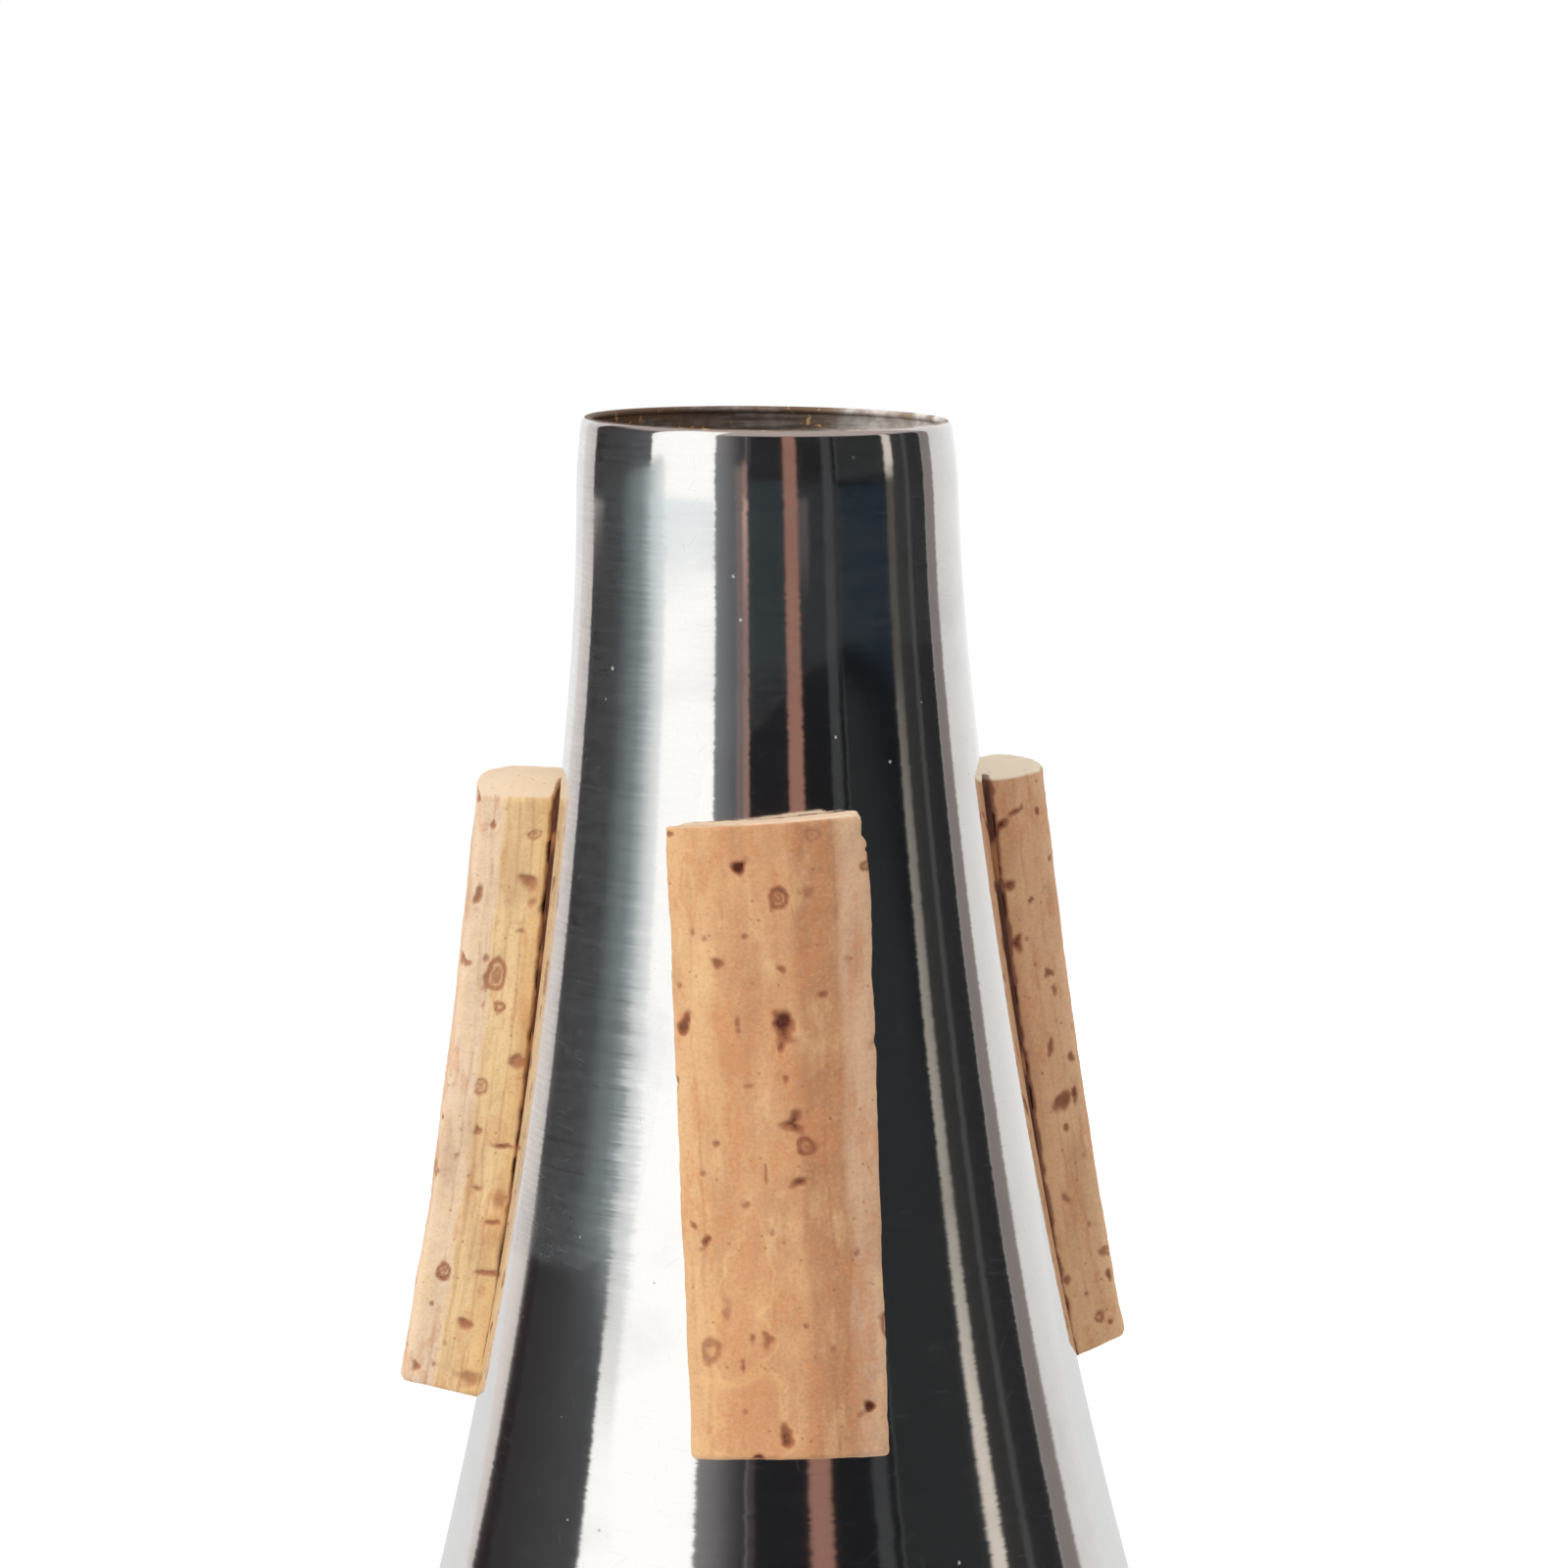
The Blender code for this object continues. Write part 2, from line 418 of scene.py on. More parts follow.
@dataclass(frozen=True)
class Wall:
    """The outside of the spun cone, given by the drop below the rim's highest point.

    Attributes:
        height: height of that point over the table.
        thickness: thickness of the sheet.
        neck_radius: radius of the neck.
        draw_in: how much narrower the lip is.
        draw_length: how far down that reaches.
        roll_radius: outer radius of the rolled edge.
        flare: drops with the wall's slope there, which changes evenly in between.
    """

    height: float = 210 * MM
    thickness: float = 0.9 * MM
    neck_radius: float = 22.1 * MM
    draw_in: float = 0.74 * MM
    draw_length: float = 9.0 * MM
    roll_radius: float = 2.5 * MM
    flare: tuple[Point, ...] = (
        (4.1 * MM, 0.005),
        (17.1 * MM, 0.046),
        (31.1 * MM, 0.095),
        (91.1 * MM, 0.166),
        (138.1 * MM, 0.255),
        (171.1 * MM, 0.300),
        (208.1 * MM, 0.300),
    )

    def at(self, drop: np.ndarray) -> Pair:
        """Radius and slope of the wall.

        Args:
            drop: distances below the rim.

        Returns:
            The outer radii, and how much they grow for each unit of drop.
        """
        drop = np.asarray(drop, float)
        radius = np.full(drop.shape, self.neck_radius)
        slope = np.full(drop.shape, self.flare[0][1])
        for (start, slope_in), (end, slope_out) in zip(self.flare, self.flare[1:]):
            run = np.clip(np.minimum(drop, end) - start, 0, None)
            reached = slope_in + (slope_out - slope_in) * run / (end - start)
            radius += run * (slope_in + reached) / 2
            slope = np.where(run > 0, reached, slope)
        left = np.clip(1 - drop / self.draw_length, 0, None)
        return radius - self.draw_in * left**2, slope + 2 * self.draw_in / self.draw_length * left

    def roll_start(self) -> tuple[float, float, float]:
        """Drop at which the wall turns into the rolled edge, the roll's centre radius and its tilt."""
        tilt = atan(self.flare[-1][1])
        drop = self.height - self.roll_radius * (1 + sin(tilt))
        return drop, float(self.at(drop)[0]) - self.roll_radius * cos(tilt), tilt


WALL = Wall()


def arc(centre: Point, radius: float, start: float, end: float, rows: int) -> np.ndarray:
    """Points on an arc of an outline, ends included.

    Args:
        centre: radius and height of the arc's centre.
        radius: the arc's own radius.
        start: first angle, from outwards, rising towards up.
        end: last angle.
        rows: how many stretches the arc is drawn in.

    Returns:
        Radius and height, one point a row.
    """
    angles = np.linspace(start, end, rows + 1)
    return np.stack([centre[0] + radius * np.cos(angles), centre[1] + radius * np.sin(angles)], axis=1)


def turned(name: str, outline: np.ndarray, steps: int) -> bpy.types.Mesh:
    """Turn a closed outline once round the axis.

    Args:
        name: the mesh's name.
        outline: radius and height, one point a row, the last joined to the first.
        steps: how many stretches a full turn is drawn in.

    Returns:
        The turned mesh. Points on the axis are merged.
    """
    angles = 2 * pi * np.arange(steps) / steps
    radius, height = outline.T
    points = np.stack(
        [
            np.outer(np.sin(angles), radius),
            np.outer(-np.cos(angles), radius),
            np.outer(np.ones(steps), height),
        ],
        axis=-1,
    ).reshape(-1, 3)
    rows = len(outline)
    turn, row = np.meshgrid(np.arange(steps), np.arange(rows), indexing="ij")
    next_turn = (turn + 1) % steps
    next_row = (row + 1) % rows
    corners = (
        turn * rows + row,
        next_turn * rows + row,
        next_turn * rows + next_row,
        turn * rows + next_row,
    )
    return make_mesh(name, points, np.stack([corner.ravel() for corner in corners], axis=1))


@dataclass(frozen=True)
class Rub:
    """A patch of the cone that hands have rubbed.

    Attributes:
        azimuth: its middle, in degrees.
        height: its middle, over the table.
        wide: half its width, in degrees.
        tall: half its height.
        strength: how much rougher the polish is there.
    """

    azimuth: float
    height: float
    wide: float
    tall: float
    strength: float


@dataclass(frozen=True)
class PolishedMetal:
    """Mirror-polished aluminium that was held against a wheel while it turned, then handled.

    Every field that ends in edge gives where a smooth step is half way, and how wide it is.

    Attributes:
        shine: roughness of the clean polish.
        cloudiness: how much rougher it is in its clouds.
        haze: how much haze there is all over.
        handled_haze: how much more there is where the cone was handled.
        tide_haze: how much more again along the border of that.
        front_share: share of the handling on the front.
        left_share: share of it on the left.
        line_depth: depth of the polishing lines.
        streak: how far the polishing lines lean the surface.
        blotch_lean: how far blotches lean it where it is rubbed.
        cloud_weight: how much the haze follows the clouds.
        blotch_weight: how much it follows the blotches.
        mottle_weight: how much it follows the mottle.
        swirl_weight: how much it follows the polishing lines.
        border: lowest height of the handled part, on the far left.
        border_steps: azimuth and softness of each rise of the border, and the rise.
        border_waver: how uneven the border is.
        degree_width: how wide a degree of azimuth counts for the scratches, in millimetres.
        specks: the spacing and size of the dust, and the spacing and edge of its patches.
        rubs: the patches that are rubbed most.
        scratch_sets: direction, the two rates and the rarity of each set of scratches.
    """

    colour: Colour = paint(244, 243, 242)
    stained: Colour = paint(226, 225, 227)
    haze_colour: Colour = paint(212, 221, 224)
    dust: Colour = paint(172, 174, 174)
    shine: float = 0.045
    cloudiness: float = 0.06
    haze_rough: float = 0.42
    haze: float = 0.018
    handled_haze: float = 0.08
    tide_haze: float = 0.03
    front_share: float = 0.65
    left_share: float = 2.1
    left_edge: Point = (-34, 20)
    scratch_share: float = 0.10
    scratch_edge: float = 0.03
    line_depth: float = 0.0000005
    line_rates: Triple = (50, 50, 5200)
    swirl_rates: Triple = (70, 70, 2600)
    streak: float = 0.03
    cloud_scale: float = 70.0
    mottle_scale: float = 620.0
    mottle_edge: Point = (0.36, 0.4)
    blotch_scale: float = 240.0
    blotch_lean: float = 0.9
    line_roughness: float = 0.02
    cloud_weight: float = 0.5
    blotch_weight: float = 0.9
    mottle_weight: float = 0.7
    swirl_weight: float = 1.8
    waver_scale: float = 55.0
    grime_edge: Point = (0.6, 0.25)
    grime_share: float = 0.5
    specks: tuple[float, Point, float, Point] = (260.0, (0.055, 0.04), 300.0, (0.57, 0.05))
    border: float = 113.6 * MM
    border_steps: tuple[Triple, ...] = (
        (-41, 12, 4 * MM),
        (-25, 18, 56 * MM),
        (3, 36, 11 * MM),
    )
    border_waver: float = 6 * MM
    border_edge: Point = (0.0, 1.6 * MM)
    tide_edge: Point = (9 * MM, 20 * MM)
    degree_width: float = 0.55
    rub_edge: Point = (0.6, 1.2)
    rubs: tuple[Rub, ...] = (
        Rub(-35, 132 * MM, 9, 26 * MM, 3.0),
        Rub(-27, 196 * MM, 12, 7 * MM, 2.0),
        Rub(-40, 178 * MM, 8, 28 * MM, 1.2),
    )
    scratch_sets: tuple[tuple[float, float, float, float], ...] = (
        (6.0, 3.6, 0.22, 0.785),
        (-38.0, 3.2, 0.30, 0.79),
        (74.0, 3.0, 0.34, 0.795),
    )

    def scratches(self, board: Board, azimuth: Wire, height: Wire) -> Wire:
        """Short straight marks from handling, in a few directions.

        Args:
            board: the material's board.
            azimuth: degrees from the front.
            height: height over the table.

        Returns:
            1 on a scratch and 0 off it.
        """
        unrolled = board.add("ShaderNodeCombineXYZ", {}, {0: azimuth * self.degree_width, 1: height / MM})
        total: Wire | float = 0.0
        for turn, across_rate, along_rate, rarity in self.scratch_sets:
            settings = {"rotation_type": "Z_AXIS"}
            sockets = {"Vector": unrolled, "Angle": radians(turn)}
            turned_place = board.add("ShaderNodeVectorRotate", settings, sockets)
            drawn = board.stretch(turned_place, (along_rate, across_rate, 1))
            total = total + board.step(board.noise(drawn, 1.0, 0.0), rarity, self.scratch_edge)
        return total.maths("MINIMUM", total, 1.0)

    def rubbed(self, board: Board, azimuth: Wire, height: Wire) -> Wire:
        """How much the polish is rubbed: 1 where it is as the wheel left it, and more in a rub."""
        total: Wire | float = 1.0
        for rub in self.rubs:
            sideways = (azimuth - rub.azimuth) / rub.wide
            upwards = (height - rub.height) / rub.tall
            away = sideways * sideways + upwards * upwards
            total = total + (1 - board.step(away, *self.rub_edge)) * rub.strength
        return total

    def handled(self, board: Board, azimuth: Wire, height: Wire, waver: Wire) -> tuple[Wire, Wire]:
        """The dulled upper part of the cone, with the border where it stops.

        Args:
            board: the material's board.
            azimuth: degrees from the front.
            height: height over the table.
            waver: noise that makes the border uneven.

        Returns:
            1 where the cone was handled, and a tide mark just over the border.
        """
        border: Wire | float = self.border
        for at, soft, rise in self.border_steps:
            border = border + rise * board.step(azimuth, at, soft)
        over = height - border + (waver - 0.5) * self.border_waver
        inside = board.step(over, *self.border_edge)
        return inside, inside * (1 - board.step(over, *self.tide_edge))

    def material(self) -> bpy.types.Material:
        """Build the node material."""
        material, board = new_material("polished_aluminium")
        place = board.place()
        across, away, height = board.split(place)
        azimuth = across.maths("ARCTAN2", across, 0 - away) * (180 / pi)
        lines = board.noise(board.stretch(place, self.line_rates), 1.0, 2.0, 0.6)
        swirl = board.noise(board.stretch(place, self.swirl_rates), 1.0, 4.0, 0.65) - 0.5
        cloud = board.noise(board.stretch(place, (1, 1, 1.4)), self.cloud_scale, 4.0, 0.6)
        mottle = board.noise(board.stretch(place, (1, 1, 1.8)), self.mottle_scale, 3.0, 0.7)
        blotch = board.noise(board.stretch(place, (1, 1, 2.2)), self.blotch_scale, 3.0, 0.6) - 0.5
        waver = board.noise(place, self.waver_scale, 4.0, 0.7)
        inside, tide = self.handled(board, azimuth, height, waver)
        rub = self.rubbed(board, azimuth, height)
        speck = board.specks(place, *self.specks)
        colour = board.tint(self.colour, self.stained, cloud, self.grime_edge, self.grime_share)
        colour = board.blend(speck, colour, self.dust)
        rough = self.shine + self.cloudiness * (cloud**2.0) * rub + self.line_roughness * lines
        normal = self.streaked_normal(board, swirl * rub + blotch * (rub - 0.8) * self.blotch_lean)
        bumped = board.bump(lines, self.line_depth, normal)
        polish = board.principled(
            {"Base Color": colour, "Metallic": 1 - speck, "Roughness": rough, "Normal": bumped}
        )
        bloom = board.principled(
            {"Base Color": self.haze_colour, "Metallic": 1.0, "Roughness": self.haze_rough, "Normal": normal}
        )
        on_left = 1 - board.step(azimuth, *self.left_edge)
        held = self.front_share + (self.left_share - self.front_share) * on_left
        share = self.haze + (inside * self.handled_haze + tide * self.tide_haze) * held
        patchy = cloud * self.cloud_weight + blotch * self.blotch_weight
        patchy = patchy + board.step(mottle, *self.mottle_edge) * self.mottle_weight
        share = share * (patchy + swirl * self.swirl_weight)
        share = share + self.scratches(board, azimuth, height) * self.scratch_share
        board.finish(board.add("ShaderNodeMixShader", {}, {0: share, 1: polish, 2: bloom}))
        return material

    def streaked_normal(self, board: Board, swirl: Wire) -> Wire:
        """Lean the surface a little along its ring, line by line, as polishing leaves it.

        Args:
            board: the material's board.
            swirl: how far it leans, changing quickly up the mute and slowly round it.

        Returns:
            The leaning surface direction.
        """
        normal = board.add("ShaderNodeNewGeometry", out="Normal")
        along = board.add(
            "ShaderNodeVectorMath", {"operation": "CROSS_PRODUCT"}, {0: (0.0, 0.0, 1.0), 1: normal}
        )
        lean = board.add("ShaderNodeVectorMath", {"operation": "SCALE"}, {0: along, 3: swirl * self.streak})
        leaning = board.add("ShaderNodeVectorMath", {"operation": "ADD"}, {0: normal, 1: lean})
        return board.add("ShaderNodeVectorMath", {"operation": "NORMALIZE"}, {0: leaning})


@dataclass(frozen=True)
class DullMetal:
    """The unpolished inside of the cone: browned by hands and breath, with painted light, shade and glints.

    Every field that ends in edge gives where a smooth step is half way, and how wide it is.

    Attributes:
        painted_light: painted light, a paler colour on the right of the inside, where the lamps shine in.
        painted_shade_and_grain: painted shade, a darker colour on the left of the inside, also used for dark
            grains.
        near_rim_edge: where the browning near the rim starts, as heights over the table.
        groove_rates: how finely the turning grooves are drawn.
        groove_depth: how deep they are.
    """

    colour: Colour = paint(206, 196, 188)
    browned: Colour = paint(138, 110, 86)
    streaked: Colour = paint(126, 112, 106)
    # Painted light on the right of the inside, and painted shade on its left.
    painted_light: Colour = paint(252, 246, 238)
    painted_shade_and_grain: Colour = paint(96, 84, 78)
    # Golden flecks painted as glints: small painted highlights on the inside.
    glint_fleck: Colour = paint(206, 164, 104)
    roughness: float = 0.52
    metal_share: float = 0.7
    painted_light_edge: Point = (10 * MM, 17 * MM)
    painted_light_share: float = 0.95
    painted_shade_edge: Point = (-7 * MM, 20 * MM)
    painted_shade_share: float = 0.6
    grain_scale: float = 1000.0
    grain_share: float = 0.3
    cloud_scale: float = 130.0
    browned_edge: Point = (0.55, 0.3)
    browned_share: float = 0.6
    browned_rim_edge: Point = (0.45, 0.2)
    browned_rim_share: float = 0.85
    glint_fleck_scale: float = 1100.0
    glint_fleck_edge: Point = (0.64, 0.05)
    near_rim_edge: Point = (WALL.height - 2.2 * MM, 2.4 * MM)
    groove_rates: Triple = (90, 90, 1400)
    groove_depth: float = 0.00008

    def material(self) -> bpy.types.Material:
        """Build the node material."""
        material, board = new_material("dull_aluminium")
        place = board.place()
        across, _, height = board.split(place)
        # Masks of the painted light on the right and the painted shade on the left of the inside.
        painted_light = board.step(across, *self.painted_light_edge) * self.painted_light_share
        painted_shade_and_grain = (1 - board.step(across, *self.painted_shade_edge)) * self.painted_shade_share
        grains = board.step(board.noise(place, self.grain_scale, 2.0), 0.5, 0.3) * self.grain_share
        grooves = board.noise(board.stretch(place, self.groove_rates), 1.0, 3.0, 0.65)
        cloud = board.noise(place, self.cloud_scale, 4.0, 0.6)
        # Painted glints: golden flecks in patches, less metallic and rougher than the metal round them.
        glint_flecks = board.step(board.noise(place, self.glint_fleck_scale, 2.0), *self.glint_fleck_edge)
        glint_flecks = glint_flecks * board.step(cloud, 0.5, 0.2)
        near_rim = board.step(height, *self.near_rim_edge)
        colour = board.tint(self.streaked, self.colour, grooves, (0.5, 0.3))
        colour = board.blend(painted_light, colour, self.painted_light)
        colour = board.blend(painted_shade_and_grain + grains, colour, self.painted_shade_and_grain)
        colour = board.tint(colour, self.browned, cloud, self.browned_edge, self.browned_share)
        browned_rim = near_rim * board.step(cloud, *self.browned_rim_edge) * self.browned_rim_share
        colour = board.blend(browned_rim, colour, self.browned)
        colour = board.blend(glint_flecks, colour, self.glint_fleck)
        shader = board.principled(
            {
                "Base Color": colour,
                # Under the painted light the metal is less metallic, so that the lamps light it.
                "Metallic": self.metal_share * (1 - glint_flecks) * (1 - painted_light),
                "Roughness": self.roughness + 0.2 * (cloud - 0.5) + glint_flecks * 0.2,
                "Normal": board.bump(grooves, self.groove_depth),
            }
        )
        board.finish(shader)
        return material


@dataclass(frozen=True)
class SpunShell:
    """The cone: drawn-in lip, neck, flare and the edge that is rolled in under the cap.

    Attributes:
        lip_round: radius of the lip's rounding.
        lip_end: angle where it ends.
        lip_reach: how far below the rim the fine rows and the rim's fall go.
        lip_top: how far below the rim the wall's slope is taken for the lip, and the fall is whole.
        neck_row: height of a row over lip_reach.
        wall_row: height of a row below it.
        land: width of the flat ring that it stands on.
        rim_fall: how far the rim is below its highest point on average, and half of its whole fall.
        rim_high_side: azimuth where it is highest.
        spare: how far it stays under the top of the frame's box.
        swell: how far its outside waves in and out.
        swell_fade: how far from each end the waves fade out.
    """

    steps: int = 240
    lip_rows: int = 12
    lip_round: float = 1.1 * MM
    lip_end: float = radians(50)
    lip_reach: float = 14 * MM
    lip_top: float = 1 * MM
    neck_row: float = 0.6 * MM
    wall_row: float = 2.0 * MM
    roll_rows: int = 14
    edge_rows: int = 8
    land: float = 4.5 * MM
    rim_fall: float = 0.586 * MM
    rim_high_side: float = radians(-65)
    spare: float = 0.01 * MM
    swell: float = 0.025 * MM
    swell_size: float = 13 * MM
    swell_seed: int = 4
    swell_fade: float = 12 * MM

    def outside(self) -> np.ndarray:
        """The outline of the outer face, from the lip down to the land that it stands on."""
        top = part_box("body_shell")[1].z - self.spare
        half = WALL.thickness / 2
        tilt = atan(float(WALL.at(self.lip_top)[1]))
        rise = self.lip_round * (sin(self.lip_end) - sin(tilt)) + half * (1 - sin(self.lip_end))
        start = WALL.height - top + rise
        radius = float(WALL.at(start)[0])
        centre = (radius - self.lip_round * cos(tilt), WALL.height - start - self.lip_round * sin(tilt))
        lip = arc(centre, self.lip_round, self.lip_end, tilt, self.lip_rows)
        roll_drop, roll_centre, roll_tilt = WALL.roll_start()
        neck = np.arange(start + self.neck_row / 2, self.lip_reach, self.neck_row)
        cone = np.arange(self.lip_reach, roll_drop - self.wall_row / 2, self.wall_row)
        drops = np.concatenate([neck, cone])
        wall = np.stack([WALL.at(drops)[0], WALL.height - drops], axis=1)
        roll = arc((roll_centre, WALL.roll_radius), WALL.roll_radius, roll_tilt, -pi / 2, self.roll_rows)
        return np.concatenate([lip, wall, roll])

    def outline(self) -> tuple[np.ndarray, int, int]:
        """The closed outline of the sheet.

        Returns:
            The outline, the number of its points on the outer face, and the number up to the end
            of the edge's rounding, after which the inner face starts.
        """
        outer = self.outside()
        half = WALL.thickness / 2
        roll_centre = WALL.roll_start()[1]
        edge_centre = (roll_centre - self.land + half, half)
        edge = arc(edge_centre, half, -pi / 2, -3 * pi / 2, self.edge_rows)
        along = np.gradient(outer, axis=0)
        along /= np.linalg.norm(along, axis=1)[:, None]
        outwards = np.stack([-along[:, 1], along[:, 0]], axis=1)
        inner = outer - outwards * WALL.thickness
        tip = outer[0] - outwards[0] * half
        lean = float(np.arctan2(outwards[0][1], outwards[0][0]))
        rim = arc(tuple(tip), half, lean + pi, lean, self.edge_rows)[1:-1]
        outline = np.concatenate([outer, edge, inner[::-1], rim])
        return outline, len(outer), len(outer) + len(edge)

    def mesh(self) -> bpy.types.Mesh:
        """Turn the sheet, swell its outside very slightly, and sort its faces by finish."""
        outline, outer, inner = self.outline()
        mesh = turned("shell", outline, self.steps)
        points = np.zeros(len(mesh.vertices) * 3, np.float32)
        mesh.vertices.foreach_get("co", points)
        points = points.reshape(-1, 3).astype(float)
        row = np.arange(len(points)) % len(outline)
        fade = ease(points[:, 2], WALL.roll_radius, WALL.roll_radius + self.swell_fade)
        fade *= ease(points[:, 2], WALL.height, WALL.height - self.swell_fade) * (row < outer)
        wave = soft_noise(points, self.swell_size, self.swell_seed) - 0.5
        radius = np.linalg.norm(points[:, :2], axis=1)
        points[:, :2] *= (1 + self.swell * wave * fade / radius)[:, None]
        turn = np.arctan2(points[:, 0], -points[:, 1]) - self.rim_high_side
        lip_share = ease(points[:, 2], WALL.height - self.lip_reach, WALL.height - self.lip_top)
        points[:, 2] -= self.rim_fall * (1 - np.cos(turn)) * lip_share
        mesh.vertices.foreach_set("co", points.astype(np.float32).ravel())
        mesh.update()
        first = np.array([face.vertices[0] for face in mesh.polygons])
        others = np.array([face.vertices[2] for face in mesh.polygons])
        dull = (np.minimum(first, others) % len(outline) >= inner) & (first % len(outline) >= inner)
        mesh.polygons.foreach_set("material_index", dull.astype(np.int32))
        return mesh

    def build(self, metal: PolishedMetal, inside: DullMetal) -> None:
        """Make the shell and dress it.

        Args:
            metal: finish of the outer face and the rim.
            inside: finish of the inner face.
        """
        mesh = self.mesh()
        mesh.materials.append(metal.material())
        mesh.materials.append(inside.material())
        add_piece("spun_shell", mesh, "body_shell")


@dataclass(frozen=True)
class SpunPlate:
    """Aluminium plate with the concentric lines that spinning and turning leave.

    Attributes:
        line_rates: how finely the lines are drawn outwards and upwards.
        band_rates: the same for the broader bands.
        line_depth: how deep the lines are.
    """

    colour: Colour = paint(232, 231, 230)
    worn: Colour = paint(198, 196, 194)
    roughness: float = 0.17
    line_rates: Point = (2600.0, 300.0)
    band_rates: Point = (2600.0 / 9, 100.0)
    line_depth: float = 0.00006
    cloud_scale: float = 60.0
    wear_edge: Point = (0.58, 0.2)

    def rings(self, board: Board, rates: Point, detail: float, rough: float = 0.5) -> Wire:
        """Noise that runs round the axis.

        Args:
            board: the material's board.
            rates: how many patches there are to a metre, outwards and upwards.
            detail: how many finer layers are added.
            rough: how strong the finer layers are.

        Returns:
            The noise, 0 to 1.
        """
        across, away, up = board.split(board.place())
        radius = (across * across + away * away) ** 0.5
        ring_place = board.add("ShaderNodeCombineXYZ", {}, {0: radius * rates[0], 1: up * rates[1]})
        return board.noise(ring_place, 1.0, detail, rough)

    def material(self) -> bpy.types.Material:
        """Build the node material."""
        material, board = new_material("spun_plate")
        lines = self.rings(board, self.line_rates, 2.0, 0.7)
        bands = self.rings(board, self.band_rates, 1.0)
        wear = board.step(board.noise(board.place(), self.cloud_scale, 4.0, 0.6), *self.wear_edge)
        shader = board.principled(
            {
                "Base Color": board.blend(wear * 0.7, self.colour, self.worn),
                "Metallic": 1.0,
                "Roughness": self.roughness + 0.12 * (lines - 0.5) + 0.12 * wear,
                "Normal": board.bump(lines + 2.5 * bands, self.line_depth),
            }
        )
        board.finish(shader)
        return material


@dataclass(frozen=True)
class EndCap:
    """The plate in the wide end: a flat land, a step up and a low dome with a centre mark.

    Attributes:
        clearance: how far its rim is inside the rolled edge.
        gap: how far its land is over the flat ring.
        step_outer: radius where the step starts.
        step_inner: radius where the dome starts.
        step_rise: height of the step.
        dome_rise: height of the dome.
        groove_radii: where the turned grooves are.
        merge: how close the points on the axis are to become one.
    """

    steps: int = 192
    clearance: float = 1.6 * MM
    gap: float = 0.3 * MM
    step_outer: float = 49.5 * MM
    step_inner: float = 44.5 * MM
    step_rise: float = 3.2 * MM
    dome_rise: float = 1.2 * MM
    step_rows: int = 20
    dome_rows: int = 60
    land_rows: int = 8
    edge_rows: int = 6
    groove_radii: tuple[float, ...] = (14 * MM, 29.5 * MM, 42 * MM)
    groove_width: float = 0.9 * MM
    groove_depth: float = 0.12 * MM
    mark_radius: float = 1.4 * MM
    mark_depth: float = 0.35 * MM
    merge: float = 0.001 * MM

    def underside(self) -> np.ndarray:
        """The outline of the lower face, from its rim to the axis."""
        roll_centre = WALL.roll_start()[1]
        rim = roll_centre + WALL.roll_radius - WALL.thickness - self.clearance - WALL.thickness / 2
        low = WALL.thickness + self.gap
        land = np.linspace(rim, self.step_outer, self.land_rows + 1)[:-1]
        share = np.linspace(0, 1, self.step_rows + 1)
        climb = self.step_outer + (self.step_inner - self.step_outer) * share
        dome_share = np.linspace(0, 1, self.dome_rows + 1)[1:]
        dome = self.step_inner * (1 - dome_share)
        radius = np.concatenate([land, climb, dome])
        height = np.concatenate(
            [
                np.full(len(land), low),
                low + self.step_rise * (1 - np.cos(pi * share)) / 2,
                low + self.step_rise + self.dome_rise * (1 - (1 - dome_share) ** 2),
            ]
        )
        for groove in self.groove_radii:
            height += self.groove_depth * np.exp(-(((radius - groove) / self.groove_width) ** 2))
        height += self.mark_depth * ease(radius, self.mark_radius, 0.0)
        return np.stack([radius, height], axis=1)

    def build(self, metal: SpunPlate) -> None:
        """Make the cap and dress it.

        Args:
            metal: the plate's finish.
        """
        below = self.underside()
        above = below + np.array([0.0, WALL.thickness])
        half = WALL.thickness / 2
        edge_centre = (float(below[0][0]), float(below[0][1]) + half)
        rim = arc(edge_centre, half, pi / 2, -pi / 2, self.edge_rows)[1:-1]
        outline = np.concatenate([below, above[::-1], rim])
        mesh = turned("cap", outline, self.steps)
        shape = bmesh.new()
        shape.from_mesh(mesh)
        bmesh.ops.remove_doubles(shape, verts=shape.verts, dist=self.merge)
        shape.to_mesh(mesh)
        shape.free()
        mesh.materials.append(metal.material())
        add_piece("cap_plate", mesh, "end_cap")


class Face(Enum):
    """A face of a cork strip that carries marks."""

    OUTER = 0
    LOW_SIDE = -1
    HIGH_SIDE = 1


class Shape(Enum):
    """How a mark in the cork is drawn."""

    PIT = "pit"
    RING = "ring"
    STAR = "star"
    STAIN = "stain"
    FLAME = "flame"
    CHIP = "chip"


@dataclass(frozen=True)
class Mark:
    """A pore, stain or chip in a strip, in millimetres.

    Attributes:
        across: distance from the strip's middle line on its outer face, or up from its foot on a side.
        down: distance from the strip's top end.
        wide: size across.
        tall: size down the strip.
        dark: how dark it is, 0 to 1.
        shape: how it is drawn.
        turn: degrees that it is turned by.
        face: the face that it is on; the strip's shown face where this is left out.
    """

    across: float
    down: float
    wide: float
    tall: float
    dark: float = 0.6
    shape: Shape = Shape.PIT
    turn: float = 0.0
    face: Face | None = None

    @property
    def size(self) -> float:
        """The smaller one of its two sizes."""
        return min(self.wide, self.tall)


